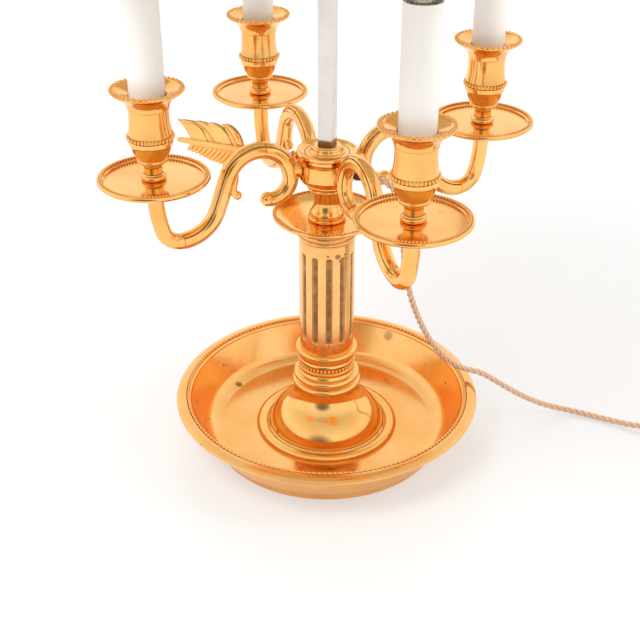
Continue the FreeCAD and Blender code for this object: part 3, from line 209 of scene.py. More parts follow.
def finish_material(name, group, values, metallic=0.0, bump=0.1, distance=0.0002, **shader_values):
    """A material whose colour, roughness and height come from one of the shared groups."""
    made = bpy.data.materials.new(name)
    t = emptied(made)
    surface = t.node("ShaderNodeGroup", {"node_tree": group})
    for label, value in values.items():
        t.feed(surface, label, value)
    relief = t.node("ShaderNodeBump", Strength=bump, Distance=distance, Height=surface.outputs["Height"])
    shader = t.node("ShaderNodeBsdfPrincipled", Base_Color=surface.outputs["Colour"], Metallic=metallic,
                    Roughness=surface.outputs["Roughness"], Normal=relief.outputs["Normal"], **shader_values)
    t.node("ShaderNodeOutputMaterial", Surface=shader.outputs[0])
    return made


def gilt(name, tone, deep, shade_and_tarnish, spots, gloss, dullness):
    return finish_material(name, AGE_MARKS_AND_SHADE, {
        "Tone": (*tone, 1), "Deep tone": (*deep, 1), "Grime": (*shade_and_tarnish, 1), "Cloud scale": 26.0,
        "Spots": spots, "Recess grime": 0.9, "Gloss": gloss, "Dullness": dullness,
    }, metallic=1.0, bump=0.25, distance=0.0006)


def grained(name, tone, second, rough, swing=0.1, grain=900.0, cloud=25.0, **extra):
    return finish_material(name, FINE_GRAIN, {
        "Tone": (*tone, 1), "Second tone": (*second, 1), "Grain scale": grain, "Cloud scale": cloud,
        "Roughness": rough, "Roughness swing": swing,
    }, **extra)


# Each gilt's dark colour serves its tarnish spots and the painted shade in its recesses
GILT = gilt("gilt_bronze", tone=(0.97, 0.58, 0.20), deep=(0.93, 0.47, 0.13), shade_and_tarnish=(0.17, 0.06, 0.02),
            spots=0.55, gloss=0.10, dullness=0.08)
GILT_DISH = gilt("gilt_bronze_dish", tone=(0.97, 0.55, 0.20), deep=(0.94, 0.46, 0.13),
                 shade_and_tarnish=(0.20, 0.08, 0.03), spots=0.8, gloss=0.13, dullness=0.10)
GILT_COLUMN = gilt("gilt_bronze_column", tone=(0.96, 0.58, 0.24), deep=(0.92, 0.48, 0.16),
                   shade_and_tarnish=(0.26, 0.13, 0.05), spots=0.7, gloss=0.15, dullness=0.10)
ROD_STEEL = grained("rod_steel", (0.80, 0.77, 0.74), (0.70, 0.67, 0.64), rough=0.20, grain=600.0,
                    cloud=30.0, metallic=1.0, bump=0.08)
PLAIN_STEEL = grained("plain_steel", (0.52, 0.52, 0.52), (0.42, 0.42, 0.43), rough=0.35, swing=0.15,
                      grain=700.0, cloud=30.0, metallic=1.0)
SLEEVE_WHITE = grained("sleeve_white", (0.95, 0.93, 0.90), (0.91, 0.89, 0.86), rough=0.45, grain=500.0,
                       cloud=20.0)
HOLDER_BLACK = grained("holder_black", (0.03, 0.03, 0.03), (0.05, 0.045, 0.04), rough=0.45)
CAP_NICKEL = grained("cap_nickel", (0.76, 0.75, 0.72), (0.66, 0.65, 0.62), rough=0.2, grain=500.0,
                     cloud=40.0, metallic=1.0)
SHADE_GREEN = grained("shade_green", (0.012, 0.050, 0.032), (0.018, 0.066, 0.043), rough=0.30, swing=0.12,
                      grain=500.0, cloud=12.0, bump=0.12, Coat_Weight=0.35, Coat_Roughness=0.12)
SHADE_CREAM = grained("shade_cream", (0.82, 0.79, 0.70), (0.77, 0.73, 0.63), rough=0.5, grain=500.0,
                      cloud=12.0)
FELT_GREEN = grained("felt_green", (0.05, 0.14, 0.06), (0.08, 0.19, 0.09), rough=0.9, swing=0.08,
                     grain=1400.0, cloud=90.0, bump=0.5, Sheen_Weight=0.4)
CAST_IRON = grained("cast_iron", (0.10, 0.10, 0.10), (0.06, 0.06, 0.06), rough=0.6, swing=0.15,
                    grain=500.0, cloud=40.0, metallic=0.8, bump=0.5)
LEAD_RUBBER = grained("lead_rubber", (0.05, 0.035, 0.025), (0.07, 0.05, 0.035), rough=0.6)
PLASTIC_BROWN = grained("plastic_brown", (0.085, 0.035, 0.016), (0.11, 0.05, 0.024), rough=0.22,
                        grain=700.0, cloud=20.0, bump=0.06, Coat_Weight=0.3, Coat_Roughness=0.1)
TIE_BLACK = grained("tie_black", (0.03, 0.028, 0.026), (0.045, 0.04, 0.038), rough=0.5)


def silk_material():
    """The cord's woven silk: a fine weave along the strand's own coordinates, two close pinkish tans, and
    painted shade where the strands meet.
    """
    made = bpy.data.materials.new("cord_silk")
    t = emptied(made)
    along = t.node("ShaderNodeUVMap", {"uv_map": "strand"}).outputs["UV"]
    weave = t.node("ShaderNodeTexWave", {"bands_direction": "DIAGONAL"}, Scale=1.0, Distortion=1.2,
                   Vector=along).outputs["Fac"]
    fuzz = t.noise(t.place(), 1500.0, 3)
    tone = t.mix(t.span(weave, 0.2, 0.8), (0.68, 0.40, 0.25, 1), (0.90, 0.61, 0.42, 1))
    tone = t.mix(t.span(fuzz, 0.3, 0.7, 0.0, 0.45), tone, (0.92, 0.64, 0.45, 1))
    # Painted shade on the strands' sides that face each other
    tone = t.mix(t.math("MULTIPLY", t.recess(), 0.55), tone, (0.30, 0.15, 0.09, 1))
    height = t.math("ADD", weave, t.math("MULTIPLY", fuzz, 0.5))
    relief = t.node("ShaderNodeBump", Strength=0.5, Distance=0.0002, Height=height)
    shader = t.node("ShaderNodeBsdfPrincipled", Base_Color=tone, Normal=relief.outputs["Normal"],
                    Roughness=0.6, Sheen_Weight=0.08)
    t.node("ShaderNodeOutputMaterial", Surface=shader.outputs[0])
    return made


def glass_material():
    made = bpy.data.materials.new("bulb_glass_clear")
    t = emptied(made)
    rough = t.span(t.noise(t.place(), 120.0, 3), 0.3, 0.7, 0.0, 0.04)
    shader = t.node("ShaderNodeBsdfPrincipled", Base_Color=(0.98, 0.97, 0.95, 1), Roughness=rough, IOR=1.45,
                    Transmission_Weight=1.0)
    t.node("ShaderNodeOutputMaterial", Surface=shader.outputs[0])
    return made


def lone_mark_group():
    """A single ragged mark round one place: its depth inside it, 0 outside."""
    t, put, out = new_group("lone_mark", "ShaderNodeTree", {
        "Place": (VECTOR, (0, 0, 0)), "Size": (FLOAT, 0.002), "Depth": (FLOAT, 0.8),
    }, {"Mask": (FLOAT, None)})
    here = t.place()
    gap = t.vectors("DISTANCE", here, put.outputs["Place"])["Value"]
    ragged = t.math("MULTIPLY", t.noise(here, 700.0, 3), 1.1)
    reach = t.math("ADD", t.math("DIVIDE", gap, put.outputs["Size"]), ragged)
    t.feed(out, "Mask", t.math("MULTIPLY", t.span(reach, 1.25, 1.6, 1.0, 0.0), put.outputs["Depth"]))
    return t.tree


SILK, BULB_GLASS, LONE_MARK = silk_material(), glass_material(), lone_mark_group()
# Tarnish for the single marks; the rod's foot colour is tarnish together with painted shadow from its socket
TARNISH, ROD_FOOT_SHADE_AND_TARNISH = (0.17, 0.09, 0.05, 1), (0.17, 0.085, 0.04, 1)
ROD_FOOT_SHADE_LOW, ROD_FOOT_SHADE_HIGH = 266.8, 268.0

# Single tarnish marks that the photograph shows: (x, y, z, size, depth)
DISH_MARKS = [
    (-49.5, 81.1, 9.4, 3.6, 0.75), (-59.8, 90.2, 27.3, 1.8, 0.6), (-56.0, 92.4, 25.0, 1.3, 0.5),
    (-93.7, 37.1, 13.8, 1.5, 0.6), (-92.5, 41.0, 14.6, 1.1, 0.5), (91.6, 63.0, 34.5, 5.0, 0.4),
    (106.7, -16.9, 27.2, 1.6, 0.6),
]
COLUMN_MARKS = [
    (-8.4, -20.1, 178.3, 1.1, 0.8), (-0.7, -21.8, 177.4, 2.5, 0.7), (1.2, -21.8, 173.6, 1.3, 0.6),
    (5.6, -21.2, 178.0, 1.1, 0.8),
]
BELL_MARKS = [
    (-36.9, 19.1, 24.5, 2.2, 0.6), (-35.0, 21.5, 26.5, 1.6, 0.5), (-48.0, -5.1, 13.5, 1.9, 0.6),
]


def opened(material):
    """The material's tree, its shader and what feeds the shader's colour."""
    t = Tree(material.node_tree)
    shader = next(node for node in t.tree.nodes if node.type == "BSDF_PRINCIPLED")
    return t, shader, shader.inputs["Base Color"].links[0].from_socket


def mark(material, marks):
    """Put single tarnish marks on the material."""
    t, shader, colour = opened(material)
    rough = shader.inputs["Roughness"].links[0].from_socket
    covered = 0.0
    for x, y, z, size, depth in marks:
        spot = t.node("ShaderNodeGroup", {"node_tree": LONE_MARK}, Place=(x * MM, y * MM, z * MM),
                      Size=size * MM, Depth=depth)
        covered = t.math("MAXIMUM", covered, spot.outputs["Mask"])
    t.feed(shader, "Base Color", t.mix(covered, colour, TARNISH))
    t.feed(shader, "Roughness", t.math("ADD", rough, t.math("MULTIPLY", covered, 0.35), clamp=True))


def darken_rod_foot():
    """Old polish, tarnish and the socket's painted shadow on the rod where it enters the cap, darker towards
    its foot.
    """
    t, shader, colour = opened(ROD_STEEL)
    place = t.place()
    height = t.node("ShaderNodeSeparateXYZ", Vector=place).outputs["Z"]
    ragged = t.math("ADD", height, t.math("MULTIPLY", t.noise(place, 300.0, 3), 0.0012))
    share = t.span(ragged, ROD_FOOT_SHADE_LOW * MM, ROD_FOOT_SHADE_HIGH * MM, 0.92, 0.0)
    t.feed(shader, "Base Color", t.mix(share, colour, ROD_FOOT_SHADE_AND_TARNISH))


GILT_BELL = GILT.copy()
GILT_BELL.name = "gilt_bronze_bell"
darken_rod_foot()
mark(GILT_DISH, DISH_MARKS)
mark(GILT_COLUMN, COLUMN_MARKS)
mark(GILT_BELL, BELL_MARKS)


# Shared ways to make a piece
def sampled(outline, step=5.0):
    """Points round a closed outline, with its arcs as short runs; a corner is kept as (r, z, True)."""
    points = []
    for i, (x0, y0, turn) in enumerate(outline):
        x1, y1, _ = outline[(i + 1) % len(outline)]
        points.append((x0, y0, True))
        if not turn:
            continue
        half = math.radians(turn) / 2
        away = 0.5 / math.tan(half)
        cx = (x0 + x1) / 2 - (y1 - y0) * away
        cy = (y0 + y1) / 2 + (x1 - x0) * away
        count = max(2, int(abs(turn) / step))
        for k in range(1, count):
            a = 2 * half * k / count
            dx, dy = x0 - cx, y0 - cy
            points.append((cx + dx * math.cos(a) - dy * math.sin(a),
                           cy + dx * math.sin(a) + dy * math.cos(a), False))
    return points


CORNER_BEND = 14


def eased(points, ease):
    """The points with each sharp corner rounded; a concave corner gets painted shade."""
    result = []
    count = len(points)
    for i, (x, y, corner) in enumerate(points):
        before, here, after = Vector(points[i - 1][:2]), Vector((x, y)), Vector(points[(i + 1) % count][:2])
        into, out = here - before, after - here
        if min(into.length, out.length) < 1e-6:
            continue
        bend = math.degrees(into.angle_signed(out))
        if not corner or abs(bend) < CORNER_BEND or x < 1e-6:
            result.append((x, y, 0.0))
            continue
        cut = min(ease, into.length * 0.3, out.length * 0.3)
        back, onward = into.normalized() * cut, out.normalized() * cut
        # Painted shade at concave corners
        shade_and_tarnish = 1.0 if bend > CORNER_BEND else 0.0
        result.append((*(here - back * 1.5), 0.0))
        for k in (0, 0.25, 0.5, 0.75, 1):
            spot = (here - back).lerp(here, k).lerp(here.lerp(here + onward, k), k)
            result.append((spot.x, spot.y, shade_and_tarnish))
        result.append((*(here + onward * 1.5), 0.0))
    return result


def new_object(name, mesh, material):
    made = bpy.data.objects.new(name, mesh)
    mesh.materials.clear()
    mesh.materials.append(material)
    bpy.context.scene.collection.objects.link(made)
    return made


def new_shape():
    shape = bmesh.new()
    # Each point carries how much painted shade it gets
    return shape, shape.verts.layers.float.new("recess")


def mesh_of(shape, name):
    """The finished shape as a mesh."""
    mesh = bpy.data.meshes.new(name)
    shape.to_mesh(mesh)
    shape.free()
    return mesh


def evaluated_mesh(piece):
    """A plain mesh of the piece as its modifiers or its curve leave it."""
    return bpy.data.meshes.new_from_object(piece.evaluated_get(bpy.context.evaluated_depsgraph_get()))


def rounded(mesh):
    mesh.polygons.foreach_set("use_smooth", [True] * len(mesh.polygons))
    return mesh


def smooth(mesh, angle):
    rounded(mesh).set_sharp_from_angle(angle=math.radians(angle))
    mesh.update()
    return mesh


def skin(shape, ring, following):
    """Faces between two closed rings of as many points."""
    count = len(ring)
    return [shape.faces.new((ring[k], ring[(k + 1) % count], following[(k + 1) % count], following[k]))
            for k in range(count)]


def add_turning(shape, recess, outline, centre=(0.0, 0.0), segments=160, ease=0.28, step=5.0):
    """Turn an outline about an upright axis into the open bmesh."""
    profile = eased(sampled(outline, step), ease)
    rings = []
    for r, z, shade_and_tarnish in profile:
        ring = []
        for k in range(segments):
            a = 2 * math.pi * k / segments
            vertex = shape.verts.new(((centre[0] + r * math.cos(a)) * MM,
                                      (centre[1] + r * math.sin(a)) * MM, z * MM))
            vertex[recess] = shade_and_tarnish
            ring.append(vertex)
        rings.append(ring)
    for i, ring in enumerate(rings):
        following = (i + 1) % len(rings)
        if max(profile[i][0], profile[following][0]) >= 1e-6:
            skin(shape, ring, rings[following])


def closed(shape, name, material, angle=38):
    """Weld the shape's poles, point its faces outwards and make an object of it."""
    bmesh.ops.remove_doubles(shape, verts=shape.verts, dist=2e-6)
    bmesh.ops.dissolve_degenerate(shape, edges=shape.edges, dist=1e-7)
    bmesh.ops.recalc_face_normals(shape, faces=shape.faces)
    return new_object(name, smooth(mesh_of(shape, name), angle), material)


def fitted(piece, slot, body, *nodes):
    """Ride the piece on its body and let it stand for its CAD nodes; its slot is not used."""
    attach(piece, body)
    if nodes:
        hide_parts(*nodes)
    return piece


def turned(name, outline, material=GILT, slot="gilt_bronze", body="lamp", nodes=(), **extra):
    shape, recess = new_shape()
    add_turning(shape, recess, outline, **extra)
    return fitted(closed(shape, name, material), slot, body, *nodes)


def swept_into(shape, recess, path, radii, section, frame_of):
    """Carry a section of (angle, share, painted shade) along points in an upright plane."""
    rings = []
    for i, point in enumerate(path):
        way = (path[min(i + 1, len(path) - 1)] - path[max(i - 1, 0)]).normalized()
        normal = Vector((-way.z, 0, way.x))
        ring = []
        for angle, share, shade_and_tarnish in section:
            a = math.radians(angle)
            reach = radii[i] * share
            spot = point + normal * reach * math.cos(a) + Vector((0, 1, 0)) * reach * math.sin(a)
            vertex = shape.verts.new(frame_of @ (spot * MM))
            vertex[recess] = shade_and_tarnish
            ring.append(vertex)
        rings.append(ring)
    for ring, following in zip(rings, rings[1:]):
        skin(shape, ring, following)
    shape.faces.new(rings[0])
    shape.faces.new(rings[-1])


def arc_points(cx, cz, radius, first, last, step=2.5):
    count = max(2, int(abs(last - first) / step))
    angles = [math.radians(first + (last - first) * k / count) for k in range(count + 1)]
    return [Vector((cx + radius * math.cos(a), 0, cz + radius * math.sin(a))) for a in angles]


# Geometry node trees
def bead_ring_tree():
    """Beads set round a circle."""
    g, put, out = new_group("bead_ring", "GeometryNodeTree", {
        "Ring radius": (FLOAT, 0.04), "Height": (FLOAT, 0.0), "Beads": ("NodeSocketInt", 60),
        "Bead radius": (FLOAT, 0.001), "Stretch": (FLOAT, 1.0), "Rise": (FLOAT, 1.0),
        "Centre": (VECTOR, (0, 0, 0)), "Finish": ("NodeSocketMaterial", None),
    }, {"Geometry": ("NodeSocketGeometry", None)})
    circle = g.node("GeometryNodeCurvePrimitiveCircle", Radius=put.outputs["Ring radius"], Resolution=256)
    spread = g.node("GeometryNodeResampleCurve", Curve=circle.outputs["Curve"], Count=put.outputs["Beads"])
    bead = g.node("GeometryNodeMeshUVSphere", Segments=10, Rings=6, Radius=put.outputs["Bead radius"])
    size = g.node("ShaderNodeCombineXYZ", X=put.outputs["Stretch"], Y=1.0, Z=put.outputs["Rise"])
    along = g.node("GeometryNodeInputTangent")
    turn = g.node("FunctionNodeAlignRotationToVector", {"axis": "X"}, Vector=along.outputs[0])
    beads = g.node("GeometryNodeInstanceOnPoints", Points=spread.outputs[0], Instance=bead.outputs["Mesh"],
                   Rotation=turn.outputs[0], Scale=size.outputs[0])
    lift = g.node("ShaderNodeCombineXYZ", Z=put.outputs["Height"])
    place = g.vectors("ADD", lift.outputs[0], put.outputs["Centre"])[0]
    moved = g.node("GeometryNodeTransform", Geometry=beads.outputs[0], Translation=place)
    plain = g.node("GeometryNodeRealizeInstances", Geometry=moved.outputs[0])
    round_beads = g.node("GeometryNodeSetShadeSmooth", Geometry=plain.outputs[0])
    done = g.node("GeometryNodeSetMaterial", Geometry=round_beads.outputs[0], Material=put.outputs["Finish"])
    g.feed(out, "Geometry", done.outputs[0])
    return g.tree


def rib_comb_tree():
    """Ribs along a line, each leaning back, whose lengths run from the first to the last."""
    g, put, out = new_group("rib_comb", "GeometryNodeTree", {
        "Start": (VECTOR, (0, 0, 0)), "Step": (VECTOR, (0.004, 0, 0)), "Ribs": ("NodeSocketInt", 10),
        "First length": (FLOAT, 0.02), "Last length": (FLOAT, 0.01), "Rib radius": (FLOAT, 0.001),
        "Lean": (FLOAT, 0.6), "Finish": ("NodeSocketMaterial", None),
    }, {"Geometry": ("NodeSocketGeometry", None)})
    line = g.node("GeometryNodeMeshLine", {"mode": "OFFSET"}, Count=put.outputs["Ribs"],
                  Start_Location=put.outputs["Start"], Offset=put.outputs["Step"])
    rib = g.node("GeometryNodeMeshUVSphere", Segments=12, Rings=12, Radius=1.0)
    hang = g.node("GeometryNodeTransform", Geometry=rib.outputs["Mesh"], Translation=(0, 0, -1.0))
    index = g.node("GeometryNodeInputIndex").outputs[0]
    share = g.math("DIVIDE", index, g.math("SUBTRACT", put.outputs["Ribs"], 1.0))
    length = g.span(share, 0.0, 1.0, put.outputs["First length"], put.outputs["Last length"])
    size = g.node("ShaderNodeCombineXYZ", X=put.outputs["Rib radius"], Y=put.outputs["Rib radius"],
                  Z=g.math("MULTIPLY", length, 0.5))
    tilt = g.node("ShaderNodeCombineXYZ", Y=put.outputs["Lean"])
    ribs = g.node("GeometryNodeInstanceOnPoints", Points=line.outputs[0], Instance=hang.outputs[0],
                  Rotation=tilt.outputs[0], Scale=size.outputs[0])
    plain = g.node("GeometryNodeRealizeInstances", Geometry=ribs.outputs[0])
    round_ribs = g.node("GeometryNodeSetShadeSmooth", Geometry=plain.outputs[0])
    done = g.node("GeometryNodeSetMaterial", Geometry=round_ribs.outputs[0], Material=put.outputs["Finish"])
    g.feed(out, "Geometry", done.outputs[0])
    return g.tree


BEAD_RING, RIB_COMB = bead_ring_tree(), rib_comb_tree()


def grown(name, tree, **values):
    """Run a node tree on an empty mesh and return the plain mesh that it makes."""
    carrier = bpy.data.objects.new(name + "_carrier", bpy.data.meshes.new(name + "_carrier"))
    bpy.context.scene.collection.objects.link(carrier)
    modifier = carrier.modifiers.new("grow", "NODES")
    modifier.node_group = tree
    known = {item.name: item.identifier for item in tree.interface.items_tree
             if item.item_type == "SOCKET" and item.in_out == "INPUT"}
    for label, value in values.items():
        modifier[known[label.replace("_", " ")]] = value
    carrier.data.update()
    mesh = evaluated_mesh(carrier)
    carrier.modifiers.clear()
    bpy.data.objects.remove(carrier)
    return mesh


def bead_ring(radius, height, count, size, stretch, rise, centre=(0, 0)):
    """A mesh of beads; stretch is along the ring and rise is upright, both as shares of the bead's radius."""
    return grown("beads", BEAD_RING, Ring_radius=radius * MM, Height=height * MM, Beads=count,
                 Bead_radius=size * MM, Stretch=stretch, Rise=rise,
                 Centre=(centre[0] * MM, centre[1] * MM, 0.0), Finish=GILT)


def beaded(name, *rings):
    """One object from rings of beads."""
    shape = bmesh.new()
    for ring in rings:
        shape.from_mesh(ring)
    return fitted(new_object(name, rounded(mesh_of(shape, name)), GILT), "gilt_bronze", "lamp")


def arm_end(side):
    turn = math.radians(ARM_TURNS[side])
    return ARM_REACH * math.cos(turn), ARM_REACH * math.sin(turn)


# The cord, its coil and what is on it
CORD_ROUTE = [
    (23.6, -23.6, 240.9), (32.4, -30.4, 239.2), (40.4, -33.3, 232.0), (44.8, -33.4, 219.6),
    (48.2, -33.0, 199.0), (51.4, -32.8, 172.0), (56.4, -32.6, 142.0), (65.5, -32.8, 115.0),
    (78.5, -32.4, 88.0), (95.0, -32.8, 65.5), (113.0, -34.6, 50.6), (127.0, -40.0, 47.6),
    (146.0, -49.0, 33.0), (166.0, -55.0, 18.6), (187.0, -61.0, 7.4), (207.0, -71.5, 3.2),
    (225.0, -92.5, 2.9), (242.0, -114.0, 4.4), (252.5, -126.8, 8.6), (261.0, -136.6, 8.6),
]
CORD_RADIUS = 2.65
SWITCH_LENGTH = 62.0
COIL_OUTER, COIL_PITCH, COIL_LAYERS, LAYER_TURNS, TURN_STEPS = 34.0, 5.9, 4, 1.75, 16
COIL_FLOOR = CORD_RADIUS + 1.2
PLUG_RADIUS = 18.0
LEAD, TAIL = 28.0, 34.0
# Where the spare cord leaves the switch and the coil: (how far along, height)
SWITCH_EXIT = ((12, 7.2), (21, 4.9))
COIL_EXIT = ((9, 21.0), (18, 19.2), (27, 18.2), (TAIL, PLUG_RADIUS), (TAIL + 2 * CORD_RADIUS, PLUG_RADIUS))
STRANDS, STRAND_RADIUS, STRAND_SIDES, STRAND_TURN, STRAND_STEP = 3, 1.42, 9, 0.018, 0.00125
WEAVE_LENGTH, WEAVE_WRAP = 0.0016, 1.2


def coil_route():
    """From the switch into the coil, four layers round it, and out to the plug."""
    end, before = Vector(CORD_ROUTE[-1]), Vector(CORD_ROUTE[-2])
    way = (end - before).normalized()
    start = end + way * SWITCH_LENGTH
    meet = start + way * (LEAD + 2 * CORD_RADIUS)
    first = math.atan2(way.y, way.x) - math.pi / 2
    centre = Vector((meet.x - COIL_OUTER * math.cos(first), meet.y - COIL_OUTER * math.sin(first), 0))
    route = [start, start + way * 2 * CORD_RADIUS]
    for reach, height in SWITCH_EXIT:
        spot = start + way * reach
        route.append(Vector((spot.x, spot.y, height)))
    turns_in_all = LAYER_TURNS * COIL_LAYERS
    steps = int(turns_in_all * TURN_STEPS)
    spread = 1 / math.cos(math.pi / TURN_STEPS)
    for i in range(steps + 1):
        turns = turns_in_all * i / steps
        layer = min(int(turns / LAYER_TURNS), COIL_LAYERS - 1)
        along = turns - layer * LAYER_TURNS
        inward = along if layer % 2 == 0 else LAYER_TURNS - along
        radius = COIL_OUTER - COIL_PITCH * inward
        level = sum(min(1.0, max(0.0, (turns - change * LAYER_TURNS) * 2 + 0.5))
                    for change in range(1, COIL_LAYERS))
        a = first + turns * 2 * math.pi
        route.append(centre + Vector((radius * spread * math.cos(a), radius * spread * math.sin(a),
                                      COIL_FLOOR + level * COIL_PITCH)))
    last = route[-1]
    for reach, height in COIL_EXIT:
        spot = last + way * reach
        route.append(Vector((spot.x, spot.y, height)))
    return route


def centre_line(name, points):
    """The smooth line of a cord: a NURBS spline through its route, read back as points."""
    curve = bpy.data.curves.new(name, "CURVE")
    curve.dimensions = "3D"
    curve.resolution_u = 12
    spline = curve.splines.new("NURBS")
    spline.points.add(len(points) - 1)
    for control, point in zip(spline.points, points):
        control.co = (*(Vector(point) * MM), 1.0)
    spline.order_u = 3
    spline.use_endpoint_u = True
    carrier = bpy.data.objects.new(name, curve)
    bpy.context.scene.collection.objects.link(carrier)
    line = [v.co.copy() for v in evaluated_mesh(carrier).vertices]
    bpy.data.objects.remove(carrier)
    return line


def evenly(line, step):
    """The same line with points a fixed step apart."""
    result, run = [line[0]], 0.0
    for a, b in zip(line, line[1:]):
        length = (b - a).length
        while run + length >= step and length > 1e-9:
            share = (step - run) / length
            a = a.lerp(b, share)
            result.append(a)
            length = (b - a).length
            run = 0.0
        run += length
    if (result[-1] - line[-1]).length > step * 0.3:
        result.append(line[-1])
    else:
        result[-1] = line[-1]
    return result


def twisted_cord(name, line):
    """Three silk strands twisted round the centre line."""
    points = evenly(line, STRAND_STEP)
    across = (points[1] - points[0]).orthogonal().normalized()
    shape, recess = new_shape()
    strand_map = shape.loops.layers.uv.new("strand")
    rings = [[] for _ in range(STRANDS)]
    run = 0.0
    for i, point in enumerate(points):
        way = (points[min(i + 1, len(points) - 1)] - points[max(i - 1, 0)]).normalized()
        across = (across - way * across.dot(way)).normalized()
        other = way.cross(across)
        if i:
            run += (point - points[i - 1]).length
        for strand in range(STRANDS):
            a = 2 * math.pi * (run / STRAND_TURN + strand / STRANDS)
            outward = across * math.cos(a) + other * math.sin(a)
            side = way.cross(outward)
            middle = point + outward * (CORD_RADIUS - STRAND_RADIUS) * MM
            ring = []
            for k in range(STRAND_SIDES):
                b = 2 * math.pi * k / STRAND_SIDES
                vertex = shape.verts.new(middle + (outward * math.cos(b) + side * math.sin(b))
                                         * STRAND_RADIUS * MM)
                # Painted shade on each strand's side towards the cord's middle, where the strands meet
                vertex[recess] = max(0.0, -math.cos(b) * 1.3 + 0.25)
                ring.append(vertex)
            rings[strand].append((ring, run))
    for strand in rings:
        for (ring, r0), (following, r1) in zip(strand, strand[1:]):
            for k, face in enumerate(skin(shape, ring, following)):
                corners = ((k, r0), (k + 1, r0), (k + 1, r1), (k, r1))
                for loop, (turn, along) in zip(face.loops, corners):
                    loop[strand_map].uv = (turn / STRAND_SIDES * WEAVE_WRAP, along / WEAVE_LENGTH)
        shape.faces.new(strand[0][0])
        shape.faces.new(strand[-1][0])
    bmesh.ops.recalc_face_normals(shape, faces=shape.faces)
    return new_object(name, rounded(mesh_of(shape, name)), SILK), points


def lay_cord():
    lamp_flex, lamp_line = twisted_cord("lamp_flex", centre_line("lamp_flex_line", CORD_ROUTE))
    fitted(lamp_flex, "cord_silk", "lamp", "cord")
    spare_flex, spare_line = twisted_cord("spare_flex", centre_line("spare_flex_line", coil_route()))
    fitted(spare_flex, "cord_silk", "lamp", "cord_coil")


lay_cord()

# Dish, foot and column
turned("dish_turning", [
    (TIE_BORE, 5.4, 0), (91.9, 5.4, 0), (93.4, 0.1, 0), (96.2, 0.1, 0), (97.6, 7, 42), (106.3, 16, 0),
    (116.8, 37, -50), (125.4, 38.2, 60), (126.4, 39.2, 60), (125.8, 40.2, 40), (119.2, 42.6, 0),
    (118.1, 42.6, 0), (118.0, 41.6, 0), (115.4, 41.4, 0), (114.6, 40.6, 30), (114.0, 39.0, 0),
    (103.7, 17, -66), (90, DISH_FLOOR, 0), (TIE_BORE, DISH_FLOOR, 0),
], GILT_DISH, nodes=["base_dish"], segments=256, step=4.0)
beaded("dish_beads", bead_ring(116.65, 42.35, 184, 1.15, 1.6, 1.15))
turned("foot_bell_turning", [
    (43.6, DISH_FLOOR, 0), (59.9, DISH_FLOOR, 90), (55.2, 12.7, 60), (50, 10.4, 0), (48.6, 11.4, 41.4),
    (33.5, 32, -55), (24.5, 48, 0), (24.5, BELL_TOP, 0), (19.6, BELL_TOP, 0), (21.5, 47, 50),
    (30.5, 30, -12), (38.6, 20, -50), (43.6, 12, 0),
], GILT_BELL, nodes=["foot_bell"])
turned("column_base_turning", [
    (19.6, BELL_TOP, 0), (26.2, BELL_TOP, 150), (26.2, 56.2, 0), (25, 57, 150), (25, 63, 0),
    (23.4, 63.4, -60), (22.6, 69, 0), (21.6, 70, 0), (21.6, 74, 0), (22.6, 75, -60), (23.1, 82, 170),
    (23.1, COLUMN_BOTTOM, 0), (19.6, COLUMN_BOTTOM, 0),
], nodes=["column_base_ring"])
beaded("column_base_beads", bead_ring(22.2, 72.0, 46, 1.7, 0.66, 1.12))

COLUMN_RADIUS, COLUMN_BORE = 21.94, 18.54
FLUTES, FLUTE_PHASE, FLUTE_WIDTH, FLUTE_DEPTH = 12, 10.0, 5.2, 1.6
FLUTE_LOW, FLUTE_HIGH, FLUTE_END_ROWS = 97.5, 176.0, 9
# Rows of the plain foot, of the flutes' straight run and of the plain top
FOOT_ROWS, TOP_ROWS = (COLUMN_BOTTOM, 90.0, 95.0, FLUTE_LOW - 0.3), (FLUTE_HIGH + 0.3, 180.0, 184.5)
SHAFT_ROWS = [104.0 + 6.5 * k for k in range(11)]
# Shares of a flute's half width, closer together towards its steep rim
FLUTE_LINES = (0, 0.3, 0.55, 0.75, 0.88, 0.95, 0.985, 1.0)
# The moulded neck over the flutes: (height, swell, painted shade)
COLUMN_NECK = [
    (186.0, 0.0, 0.5), (186.3, 0.45, 0), (186.9, 0.9, 0), (187.5, 1.05, 0), (188.1, 0.9, 0),
    (188.7, 0.45, 0), (189.0, 0.0, 0.8), (190.4, 0.0, 0), (190.7, 0.4, 0), (191.2, 0.7, 0),
    (191.8, 0.7, 0), (192.3, 0.4, 0), (192.6, 0.0, 0.8), (COLUMN_TOP, 0.0, 0),
]


def flute_depth(around, height):
    """How deep the flutes cut, from 0 at their rims to 1 at the middle, at this place on the column."""
    half = FLUTE_WIDTH / 2
    beyond = max(FLUTE_LOW + half - height, height - (FLUTE_HIGH - half), 0.0)
    away = math.hypot(around, beyond) / half
    return math.sqrt(max(0.0, 1 - away * away)) if away < 1 else 0.0


